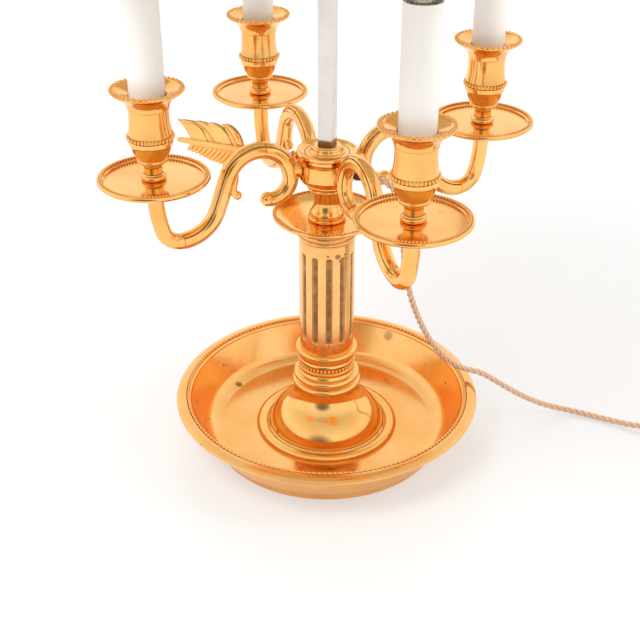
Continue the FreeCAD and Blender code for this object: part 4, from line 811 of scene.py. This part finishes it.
def fluted_column():
    half_step = math.pi * COLUMN_RADIUS / FLUTES
    half = FLUTE_WIDTH / 2
    one_side = [half * share for share in FLUTE_LINES] + [half * 1.12, half_step * 0.82]
    stops = [-stop for stop in reversed(one_side[1:])] + one_side
    end_rows = [half * (1 - math.cos(math.pi / 2 * k / FLUTE_END_ROWS)) for k in range(FLUTE_END_ROWS + 1)]
    heights = [*FOOT_ROWS, *(FLUTE_LOW + rise for rise in end_rows), *SHAFT_ROWS,
               *(FLUTE_HIGH - rise for rise in reversed(end_rows)), *TOP_ROWS]
    shape, recess = new_shape()
    rings = []
    for z, swell, shade_and_tarnish in [(z, 0.0, 0.0) for z in heights] + COLUMN_NECK:
        ring = []
        for flute in range(FLUTES):
            for around in stops:
                cut = flute_depth(around, z) if swell == 0 else 0.0
                angle = math.radians(FLUTE_PHASE + 360 / FLUTES * flute) + around / COLUMN_RADIUS
                r = (COLUMN_RADIUS + swell - FLUTE_DEPTH * cut) * MM
                vertex = shape.verts.new((r * math.cos(angle), r * math.sin(angle), z * MM))
                # Painted shade in the flutes, deepest at their middles
                vertex[recess] = max(shade_and_tarnish, min(1.0, cut * 1.15))
                ring.append(vertex)
        rings.append(ring)
    for z in (COLUMN_TOP, COLUMN_BOTTOM):
        ring = []
        for vertex in rings[0]:
            flat = Vector((vertex.co.x, vertex.co.y, 0)).normalized() * COLUMN_BORE * MM
            ring.append(shape.verts.new((flat.x, flat.y, z * MM)))
        rings.append(ring)
    for i, ring in enumerate(rings):
        skin(shape, ring, rings[(i + 1) % len(rings)])
    return fitted(closed(shape, "fluted_column", GILT_COLUMN, 50), "gilt_bronze", "lamp", "column")


fluted_column()
turned("collar_turning", [
    (TIE_BORE, 190, 0), (18.34, 190, 0), (18.34, COLUMN_TOP, 0), (22.74, COLUMN_TOP, 0), (25.14, 197, -28),
    (41.2, 203.6, 30), (42.4, 204.8, 40), (42.1, 206.4, 0), (41.6, 206.4, 0), (41.5, 205.5, 0),
    (39.8, 205.3, 0), (39.1, 204.9, -30), (29, COLLAR_TOP, 0), (TIE_BORE, COLLAR_TOP, 0),
], nodes=["collar_dish"])
beaded("collar_beads", bead_ring(40.5, 206.0, 88, 1.28, 0.7, 1.1))

# Hub
turned("vase_turning", [
    (TIE_BORE, COLLAR_TOP, 0), (13.5, COLLAR_TOP, 150), (13.5, 204.4, 30), (13, 208, -40), (10, 219, -30),
    (11.6, 226.5, 0), (14, 226.5, 120), (15, 228.9, 60), (16.6, VASE_TOP, 0), (TIE_BORE, VASE_TOP, 0),
], nodes=["hub_vase"])
turned("hub_turning", [
    (TIE_BORE, VASE_TOP, 0), (16.2, VASE_TOP, 45), (23.2, 238.5, 0), (23.2, 249.9, 60), (22.4, 250.5, 0),
    (20, 251.5, -40), (20.8, 255.6, 0), (17.4, 255.6, 0), (17.4, 239, 0), (14.4, 236, 0),
    (TIE_BORE, 236, 0),
], nodes=["hub_body"])

CAP_OUTLINE = [
    (0, 239.6, 0), (11.2, 239.6, 0), (11.2, 255.6, 0), (22.3, 255.6, 60), (23.1, 256.4, 0),
    (23.1, 257.8, 80), (22.5, 258.4, 0), (21.5, 258.4, -20), (16.9, 256.4, 0), (13.9, 256.4, 60),
    (12.9, 257.6, -40), (11.7, 259.4, 60), (10.5, 261.4, 40), (9.7, 262.4, 0), (0, 262.4, 0),
]
SOCKET_SIDE, SOCKET_MIDDLE, SOCKET_DEPTH, SOCKET_TURN = 11.7, 256.0, 30.0, 45


def hub_cap():
    """The dished cap and its stepped boss, with the square socket that the rod stands in."""
    shape, recess = new_shape()
    add_turning(shape, recess, CAP_OUTLINE, segments=128)
    piece = closed(shape, "hub_cap_turning", GILT)
    block = bmesh.new()
    sizes = (SOCKET_SIDE * MM, SOCKET_SIDE * MM, SOCKET_DEPTH * MM, 1)
    bmesh.ops.create_cube(block, size=1.0, matrix=Matrix.Rotation(math.radians(SOCKET_TURN), 4, "Z")
                          @ Matrix.Translation((0, 0, SOCKET_MIDDLE * MM)) @ Matrix.Diagonal(sizes))
    cutter = bpy.data.objects.new("socket_cutter", mesh_of(block, "socket_cutter"))
    bpy.context.scene.collection.objects.link(cutter)
    modifier = piece.modifiers.new("socket", "BOOLEAN")
    modifier.object, modifier.operation, modifier.solver = cutter, "DIFFERENCE", "EXACT"
    mesh = evaluated_mesh(piece)
    piece.modifiers.clear()
    piece.data = smooth(mesh, 38)
    bpy.data.objects.remove(cutter)
    return fitted(piece, "gilt_bronze", "lamp", "hub_cap")


hub_cap()

# Candle arms
ARM_RADIUS, SCROLL_TIP, SCROLL_GROWTH = 6.0, 5.0, 46
ARCH = (56.0, 241.0, 25.5)
CURL_RADIUS, CURL_START = 15.0, -75
BEND_RADIUS, BEND_BOTTOM, HEEL_RADIUS, HEEL_TURN = 30.0, 205.6, 15.0, 75.0
CREST, ARCH_END = 100.0, 20.0
CURL_BALL, SPUR_BALL = 5.5, 3.5
RISER_FLARE = [6.05, 6.5]
# The neck that meets the hub, at one height, and the spur under the arch
NECK_HEIGHT = 247.0
NECK = [(23.0, 6.0), (23.6, 6.6), (24.0, 6.8), (25.2, 6.8), (25.6, 6.2), (30.0, 5.5), (33.0, 5.3)]
SPUR = [(75.5, 257.5, 2.0), (74.7, 253.5, 2.9), (74.7, 249.5, 3.3), (75.5, 245.5, 3.4), (76.3, 241.8, 3.3),
        (76.4, 238.6, 3.1), (75.3, 235.9, 2.9), (73.2, 234.2, 2.8)]
SEAM_GAP, SEAM_RUN, SEAM_SHRINK = 0.05, 0.3, 0.945


def moulded_section():
    """The arm's section: a raised band above, a groove, the round body and a thin band below, with painted
    shade in the grooves.
    """
    half = [(0, 1.07, 0), (14, 1.075, 0), (27, 1.07, 0), (37, 1.045, 0), (41, 1.01, 0.1), (43, 0.89, 1.0),
            (46, 0.88, 1.0), (49, 0.955, 0.2), (56, 0.985, 0), (68, 1.0, 0), (80, 1.0, 0), (95, 1.0, 0),
            (110, 0.995, 0), (122, 0.98, 0), (130, 0.95, 0.1), (133, 0.89, 0.9), (136, 0.89, 0.9),
            (139, 0.97, 0.1), (148, 1.03, 0), (163, 1.045, 0), (180, 1.045, 0)]
    return half + [(360 - a, share, shade_and_tarnish) for a, share, shade_and_tarnish in reversed(half[1:-1])]


def round_section(count=28):
    return [(360 / count * k, 1.0, 0.0) for k in range(count)]


def arm_paths():
    """The middle lines of the scroll, the sweep and the riser, in the arm's own plane."""
    arch_r, arch_z, arch = ARCH
    curl_r = arch_r - arch + CURL_RADIUS
    scroll = arc_points(curl_r, arch_z, CURL_RADIUS, CURL_START, -180) \
        + arc_points(arch_r, arch_z, arch, 180, CREST)[1:]
    end = math.radians(ARCH_END)
    leave = Vector((arch_r + arch * math.cos(end), 0, arch_z + arch * math.sin(end)))
    heading = Vector((math.sin(end), 0, -math.cos(end)))
    inward = Vector((math.cos(end), 0, math.sin(end)))
    straight = (leave.z + inward.z * BEND_RADIUS - BEND_BOTTOM - BEND_RADIUS) / -heading.z
    meet = leave + heading * straight
    centre = meet + inward * BEND_RADIUS
    sweep = arc_points(arch_r, arch_z, arch, CREST, ARCH_END) \
        + [leave + heading * straight * k / 6 for k in range(1, 6)] \
        + arc_points(centre.x, centre.z, BEND_RADIUS, 180 + ARCH_END, 270)
    turn = math.radians(HEEL_TURN - 90)
    heel_z = BEND_BOTTOM + HEEL_RADIUS
    heel_end = Vector((centre.x + HEEL_RADIUS * math.cos(turn), 0, heel_z + HEEL_RADIUS * math.sin(turn)))
    rest = math.radians(90 - HEEL_TURN)
    lean = (ARM_REACH - heel_end.x) / (1 - math.cos(rest))
    lean_z = heel_end.z + lean * math.sin(rest)
    riser = arc_points(centre.x, heel_z, HEEL_RADIUS, -90, HEEL_TURN - 90) \
        + arc_points(ARM_REACH - lean, lean_z, lean, HEEL_TURN - 90, 0)[1:] \
        + [Vector((ARM_REACH, 0, lean_z + (PAN_BOTTOM - lean_z) * k / 4)) for k in range(1, 5)]
    return scroll, sweep, riser


def seamed(path, radii, first=True, last=True):
    """The path with its ends drawn in a little, so that a hairline seam shows where pieces meet."""
    path, radii = list(path), list(radii)
    if first:
        way = (path[1] - path[0]).normalized()
        path[0:1] = [path[0] + way * SEAM_GAP, path[0] + way * SEAM_RUN]
        radii[0:1] = [radii[0] * SEAM_SHRINK, radii[0]]
    if last:
        way = (path[-1] - path[-2]).normalized()
        path[-1:] = [path[-1] - way * SEAM_RUN, path[-1] - way * SEAM_GAP]
        radii[-1:] = [radii[-1], radii[-1] * SEAM_SHRINK]
    return path, radii


def ball(shape, centre, radius, frame_of):
    made = bmesh.ops.create_uvsphere(shape, u_segments=28, v_segments=18, radius=radius * MM)
    bmesh.ops.transform(shape, verts=made["verts"], matrix=frame_of @ Matrix.Translation(centre * MM))


def arm_casting(shape, length, side):
    return fitted(closed(shape, f"arm_{length}_cast_{side}", GILT, 42), "gilt_bronze", "lamp",
                  f"arm_{length}_{side}")


def candle_arm(side):
    """The scroll with its neck and ball, the sweep with its spur, and the riser that carries the pan."""
    frame_of = Matrix.Rotation(math.radians(ARM_TURNS[side]), 4, "Z")
    scroll, sweep, riser = arm_paths()
    moulding, plain = moulded_section(), round_section()
    growth = [SCROLL_TIP + (ARM_RADIUS - SCROLL_TIP) * min(1.0, k / SCROLL_GROWTH)
              for k in range(len(scroll))]
    shape, recess = new_shape()
    swept_into(shape, recess, *seamed(scroll, growth, first=False), moulding, frame_of)
    ball(shape, scroll[0], CURL_BALL, frame_of)
    swept_into(shape, recess, [Vector((r, 0, NECK_HEIGHT)) for r, _ in NECK], [size for _, size in NECK],
               plain, frame_of)
    arm_casting(shape, "scroll", side)
    shape, recess = new_shape()
    swept_into(shape, recess, *seamed(sweep, [ARM_RADIUS] * len(sweep)), moulding, frame_of)
    spur = [Vector((r, 0, z)) for r, z, _ in SPUR]
    swept_into(shape, recess, spur, [size for _, _, size in SPUR], plain, frame_of)
    ball(shape, spur[-1], SPUR_BALL, frame_of)
    arm_casting(shape, "sweep", side)
    shape, recess = new_shape()
    flare = [ARM_RADIUS] * (len(riser) - len(RISER_FLARE)) + RISER_FLARE
    swept_into(shape, recess, *seamed(riser, flare, last=False), plain, frame_of)
    arm_casting(shape, "riser", side)


for arm_side in ARM_TURNS:
    candle_arm(arm_side)

# Drip pans, cups, sleeves and bulbs
PAN_OUTLINE = [
    (4.05, PAN_BOTTOM, 0), (7.4, PAN_BOTTOM, -40), (9, 257.1, 0), (37.4, 257.1, 50), (40.4, 259.6, 30),
    (39.7, 261.3, 0), (38.6, 261.4, 0), (38.5, 260.3, 0), (36.6, 260.0, 0), (36.1, 259.5, -30),
    (35.4, PAN_FLOOR, 0), (4.05, PAN_FLOOR, 0),
]
CUP_OUTLINE = [
    (2.6, 249.5, 0), (4, 249.5, 0), (4, PAN_FLOOR, 0), (7.4, PAN_FLOOR, 160), (7.4, 262.9, 0),
    (6.6, 263.9, 0), (6.6, 268.9, -30), (8.8, 272.4, 0), (10.2, 272.4, 100), (10.2, 274.9, 20),
    (14.6, 283.9, 25), (15.6, 288.4, 0), (15.6, 289.2, 0), (14.9, 289.4, 0), (14.9, 292.6, 0),
    (15.3, 292.8, -14), (14.1, 311, 90), (14.8, 312, -58), (23, 322.2, 0), (25, 323.6, 50),
    (24.6, 325.4, 0), (22.6, 325.6, -30), (20.5, 324.2, 0), (13.3, 321.4, 0), (12.7, 320.2, 0),
    (12.7, SLEEVE_BOTTOM, 0), (2.6, SLEEVE_BOTTOM, 0),
]
SLEEVE_OUTLINE = [
    (11.4, SLEEVE_BOTTOM, 0), (12.5, SLEEVE_BOTTOM, 0), (12.5, SLEEVE_TOP, 0), (11.4, SLEEVE_TOP, 0),
]
GLASS_OUTLINE = [
    (5.4, 403.3, 0), (6.2, 403.3, 0), (8.8, 407.4, 36), (17.5, 433, 40), (10.85, 462.7, -12),
    (1.4, 481.2, 0), (0, 481.2, 0), (0, 479, 0), (1, 479, 12), (10.1, 462.2, -40), (16.8, 433, -36),
    (8.2, 408, 0),
]
for arm_side in ARM_TURNS:
    end_place = arm_end(arm_side)
    turned(f"pan_turning_{arm_side}", PAN_OUTLINE, nodes=[f"drip_pan_{arm_side}"], centre=end_place)
    turned(f"cup_turning_{arm_side}", CUP_OUTLINE, nodes=[f"candle_cup_{arm_side}"], centre=end_place,
           segments=112)
    turned(f"sleeve_tube_{arm_side}", SLEEVE_OUTLINE, SLEEVE_WHITE, "candle_sleeve", centre=end_place,
           nodes=[f"candle_sleeve_{arm_side}"], segments=80)
    beaded(f"pan_beads_{arm_side}", bead_ring(37.4, 261.0, 100, 1.18, 0.7, 1.1, end_place))
    beaded(f"cup_beads_{arm_side}", bead_ring(15.5, 291.0, 34, 1.72, 0.64, 1.0, end_place),
           bead_ring(24.2, 325.0, 42, 1.9, 0.66, 0.8, end_place))


def bulb_glass():
    shape, recess = new_shape()
    for side in ARM_TURNS:
        add_turning(shape, recess, GLASS_OUTLINE, centre=arm_end(side), segments=64, ease=0.1)
    return fitted(closed(shape, "bulb_glass_blown", BULB_GLASS), "bulb_glass", "lamp", "bulb_glass")


bulb_glass()


# Arrow key
ARROW_HEIGHT = 248.4
# The shaft from its screw end to its tail: (reach, radius)
ARROW_SHAFT = [
    (5.6, 2.3), (23.5, 2.3), (23.6, 4.6), (25.2, 4.8), (25.6, 3.2), (27.0, 3.0), (27.4, 4.2), (28.6, 4.4),
    (29.2, 3.0), (31.0, 2.6), (56.0, 2.6), (57.0, 3.4), (58.4, 3.5), (59.2, 2.7), (61.0, 2.7), (61.8, 3.5),
    (63.0, 3.4), (64.0, 2.8), (68.0, 3.0), (110.0, 2.9), (124.0, 2.1), (126.0, 0.9),
]
# The upper barbs: the reach of foot, shoulder and tip; each is a leaf that overlaps the one behind it
ARROW_BARBS = ((68.5, 80.5, 86.5), (78.0, 92.0, 99.5), (88.5, 103.0, 112.0), (99.0, 114.5, 124.3))
BARB_FOOT, BARB_RISE, BARB_STEP_DOWN = 250.2, 266.8, 0.3
BARB_THICKNESS, BARB_STAGGER = 2.3, 0.35
VEIN_RADIUS, VEIN_TAPER, VEIN_POINTS = 1.75, 0.05, 14
LOWER_BLADE = [(70.5, 246.8), (74.5, 241.0), (81.0, 235.8), (88.0, 233.6), (98.0, 235.0), (106.0, 238.5),
               (112.0, 242.6), (113.0, 246.8)]
LOWER_THICKNESS = 1.2
# The comb of ribs on the lower blade
COMB_START, COMB_STEP, COMB_RIBS, COMB_LEAN = (73.5, 0, 247.5), 4.15, 10, -0.72
COMB_FIRST, COMB_LAST, RIB_RADIUS = 21.5, 9.8, 1.75
# A blade's layers from its rim inwards: the share of its outline and of its thickness
BLADE_LAYERS = ((1.0, 0.35), (0.92, 0.75), (0.75, 1.0))


def blade(shape, recess, outline, thickness, frame_of, offset=0.0):
    """A feather's blade: an outline in the arrow's plane, thick along its middle, thin at its rim, with
    painted shade along the rim.
    """
    points = [Vector((x, 0, z)) for x, z in outline]
    middle = sum(points, Vector()) / len(points)
    rims = []
    for side in (1, -1):
        rings = []
        for share, lift in BLADE_LAYERS:
            aside = Vector((0, lift * thickness / 2 * side + offset, 0))
            rings.append([shape.verts.new(frame_of @ ((middle + (p - middle) * share + aside) * MM))
                          for p in points])
        for ring, following in zip(rings, rings[1:]):
            skin(shape, ring, following)
        # Painted shade along the blade's rim
        for vertex in rings[0]:
            vertex[recess] = 1.0
        shape.faces.new(rings[-1])
        rims.append(rings[0])
    skin(shape, *rims)


def bent_line(points, count):
    """Points on a smooth curve past four guides."""
    a, b, c, d = (Vector((x, 0, z)) for x, z in points)
    return [a * (1 - t) ** 3 + b * 3 * t * (1 - t) ** 2 + c * 3 * t * t * (1 - t) + d * t ** 3
            for t in (k / count for k in range(count + 1))]


def upper_barb(shape, recess, number, frame_of):
    """One S-curved leaf with its vein."""
    foot, shoulder, tip = ARROW_BARBS[number]
    rise = BARB_RISE - BARB_STEP_DOWN * number
    front = bent_line([(foot, BARB_FOOT), (foot + 1.5, 259.5), (foot + 6.0, 266.0),
                       (shoulder + 1.0, rise)], 9)
    crown = bent_line([(shoulder + 1.0, rise), (shoulder + 3.5, rise + 0.6), (tip - 2.5, rise - 1.2),
                       (tip, rise - 0.6)], 6)
    back = bent_line([(tip, rise - 0.6), (tip - 6.0, 260.5), (foot + 18.0, 255.5),
                      (foot + 14.0, BARB_FOOT)], 9)
    outline = [(p.x, p.z) for p in front[:-1] + crown[:-1] + back]
    stagger = BARB_STAGGER if number % 2 else -BARB_STAGGER
    blade(shape, recess, outline, BARB_THICKNESS, frame_of, stagger)
    vein = bent_line([(foot + 6.5, 250.5), (foot + 8.5, 258.5), (shoulder, 262.5),
                      (tip - 2.0, rise - 1.6)], VEIN_POINTS)
    swept_into(shape, recess, vein, [VEIN_RADIUS - VEIN_TAPER * k for k in range(VEIN_POINTS + 1)],
               round_section(10), frame_of)


def arrow_key():
    frame_of = Matrix.Rotation(math.radians(KEY_TURN), 4, "Z")
    shape, recess = new_shape()
    swept_into(shape, recess, [Vector((r, 0, ARROW_HEIGHT)) for r, _ in ARROW_SHAFT],
               [size for _, size in ARROW_SHAFT], round_section(24), frame_of)
    for number in range(len(ARROW_BARBS)):
        upper_barb(shape, recess, number, frame_of)
    blade(shape, recess, LOWER_BLADE, LOWER_THICKNESS, frame_of)
    key = closed(shape, "arrow_key_cast", GILT, 40)
    ribs = grown("feather_ribs", RIB_COMB, Start=tuple(Vector(COMB_START) * MM),
                 Step=(COMB_STEP * MM, 0, 0), Ribs=COMB_RIBS, First_length=COMB_FIRST * MM,
                 Last_length=COMB_LAST * MM, Rib_radius=RIB_RADIUS * MM, Lean=COMB_LEAN, Finish=GILT)
    ribs.transform(frame_of)
    merged = bmesh.new()
    merged.from_mesh(key.data)
    merged.from_mesh(ribs)
    merged.to_mesh(key.data)
    merged.free()
    smooth(key.data, 40)
    return fitted(key, "gilt_bronze", "arrow_key", "arrow_key")


arrow_key()

# Shade and finial
SHADE_OUTLINE = [
    (197.2, 446.0, 0), (198.0, 446.0, 0), (198.0, 453.0, 0), (58.0, 589.0, 0), (58.0, 596.0, 0),
    (57.2, 596.0, 0), (57.2, 588.4, 0), (197.2, 452.4, 0),
]
# The gilt wires on the shade's edges: radius, height and the wire's own radius
SHADE_RIMS = {"shade_rim_low": (196.6, 447.2, 1.2), "shade_rim_high": (56.7, 594.8, 1.1)}


def shade():
    """The painted cone, green outside and cream inside, with its gilt rims."""
    shape, recess = new_shape()
    add_turning(shape, recess, SHADE_OUTLINE, segments=256, ease=0.2)
    piece = closed(shape, "shade_painted", SHADE_GREEN)
    piece.data.materials.append(SHADE_CREAM)
    for face in piece.data.polygons:
        outward = face.normal.x * face.center.x + face.normal.y * face.center.y
        face.material_index = 1 if outward < 0 else 0
    fitted(piece, "shade_paint", "shade_carriage", "shade")
    for name, (radius, height, size) in SHADE_RIMS.items():
        turned(name, [(radius - size, height, 180), (radius + size, height, 180)],
               body="shade_carriage", segments=256, ease=0.01)


shade()
turned("finial_turning", [
    (0, 652, 0), (10, 652, 150), (10, 655.6, 0), (6, 657, -30), (5.4, 661, 50), (11, 670.48, 60),
    (5, 683.68, -40), (3.4, 687.2, 0), (4.6, 689.84, 60), (0.8, 695.9, 0), (0, 695.9, 0),
], nodes=["finial"], segments=96)

# Pieces that keep the frame's own mesh
KEPT_FINISHES = {
    "centre_rod": ROD_STEEL, "tie_rod": PLAIN_STEEL, "tie_rod_nuts": PLAIN_STEEL, "base_plate": PLAIN_STEEL,
    "base_felt": FELT_GREEN, "base_ballast": CAST_IRON, "arm_leads": LEAD_RUBBER, "arm_nipples": GILT,
    "bulb_caps": CAP_NICKEL, "shade_spider": GILT, "shade_carrier": GILT, "shade_key": GILT,
    "cord_bush": PLASTIC_BROWN, "switch_body": PLASTIC_BROWN, "switch_rocker": PLASTIC_BROWN,
    "plug_body": PLASTIC_BROWN, "plug_pins": CAP_NICKEL, "coil_tie": TIE_BLACK,
    **{f"lampholder_{side}": HOLDER_BLACK for side in ARM_TURNS},
}
for node_name, finish in KEPT_FINISHES.items():
    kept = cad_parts[node_name]
    if not kept.material_slots:
        kept.data.materials.append(finish)
    for slot in kept.material_slots:
        slot.material = finish

# Room: floor, light and world
FLOOR_DROP = 0.0002
FLOOR_TONES = (0.80, 0.79, 0.78, 1), (0.84, 0.83, 0.82, 1)
FLOOR_GLOW, FLOOR_CAMERA_SHARE, FLOOR_MIRROR_SHARE = (0.955, 0.95, 0.945, 1), 0.5, 0.3
ROOM_PALE, ROOM_CEILING, ROOM_BEHIND = (1.0, 0.99, 0.98, 1), (0.66, 0.64, 0.62, 1), (0.10, 0.08, 0.07, 1)
ROOM_STRENGTH, BEHIND_SHARE = 1.12, 0.88
BACK_WAY = (-0.61, -0.77, 0.17)


def backdrop_share(t, camera, glossy):
    """How much of the plain backdrop a ray sees: camera rays one share, mirrored rays another."""
    path = t.node("ShaderNodeLightPath")
    seen = t.math("MULTIPLY", path.outputs["Is Camera Ray"], camera)
    mirrored = t.math("MULTIPLY", path.outputs["Is Glossy Ray"], glossy)
    through = t.math("MULTIPLY", path.outputs["Is Transmission Ray"], glossy)
    return t.math("MAXIMUM", seen, t.math("MAXIMUM", mirrored, through))


def floor_material():
    made = bpy.data.materials.new("floor_pale")
    t = emptied(made)
    cloth = t.node("ShaderNodeBsdfDiffuse", Color=t.mix(t.noise(t.place(), 2.2, 3), *FLOOR_TONES))
    glow = t.node("ShaderNodeEmission", Color=FLOOR_GLOW, Strength=1.0)
    share = backdrop_share(t, FLOOR_CAMERA_SHARE, FLOOR_MIRROR_SHARE)
    t.node("ShaderNodeOutputMaterial", Surface=t.mix_shaders(share, cloth, glow))
    return made


def pale_floor():
    shape = bmesh.new()
    bmesh.ops.create_grid(shape, x_segments=8, y_segments=8, size=6.0)
    floor = new_object("floor", mesh_of(shape, "floor"), floor_material())
    floor.location.z = -FLOOR_DROP


def studio_world():
    """White where the camera looks; in reflections a pale room, darker overhead and behind the camera."""
    world = bpy.data.worlds.new("studio")
    bpy.context.scene.world = world
    t = emptied(world)
    way = t.node("ShaderNodeTexCoord").outputs["Generated"]
    up = t.span(t.node("ShaderNodeSeparateXYZ", Vector=way).outputs["Z"], 0.5, 1.0)
    back = t.span(t.vectors("DOT_PRODUCT", way, BACK_WAY)["Value"], 0.86, 0.97)
    room = t.mix(up, ROOM_PALE, ROOM_CEILING)
    room = t.mix(t.math("MULTIPLY", back, BEHIND_SHARE), room, ROOM_BEHIND)
    lit = t.node("ShaderNodeBackground", Color=room, Strength=ROOM_STRENGTH)
    shown = t.node("ShaderNodeBackground", Color=(1, 1, 1, 1), Strength=1.0)
    seen = t.node("ShaderNodeLightPath").outputs["Is Camera Ray"]
    t.node("ShaderNodeOutputWorld", Surface=t.mix_shaders(seen, lit, shown))


def soft_lamp(name, place, aim, size, power):
    data = bpy.data.lights.new(name, "AREA")
    data.shape, data.size, data.energy = "DISK", size, power
    lamp = bpy.data.objects.new(name, data)
    lamp.location = place
    lamp.rotation_euler = (Vector(aim) - Vector(place)).to_track_quat("-Z", "Y").to_euler()
    lamp.visible_glossy = False
    bpy.context.scene.collection.objects.link(lamp)


pale_floor()
studio_world()
LAMPS_AIM = (0.0, 0.0, 0.25)
soft_lamp("key_softbox", (-1.3, -0.4, 2.1), LAMPS_AIM, size=1.1, power=26.0)
soft_lamp("fill_softbox", (1.6, -0.9, 1.4), LAMPS_AIM, size=0.9, power=9.0)
soft_lamp("back_softbox", (0.5, 1.9, 1.6), LAMPS_AIM, size=1.2, power=12.0)
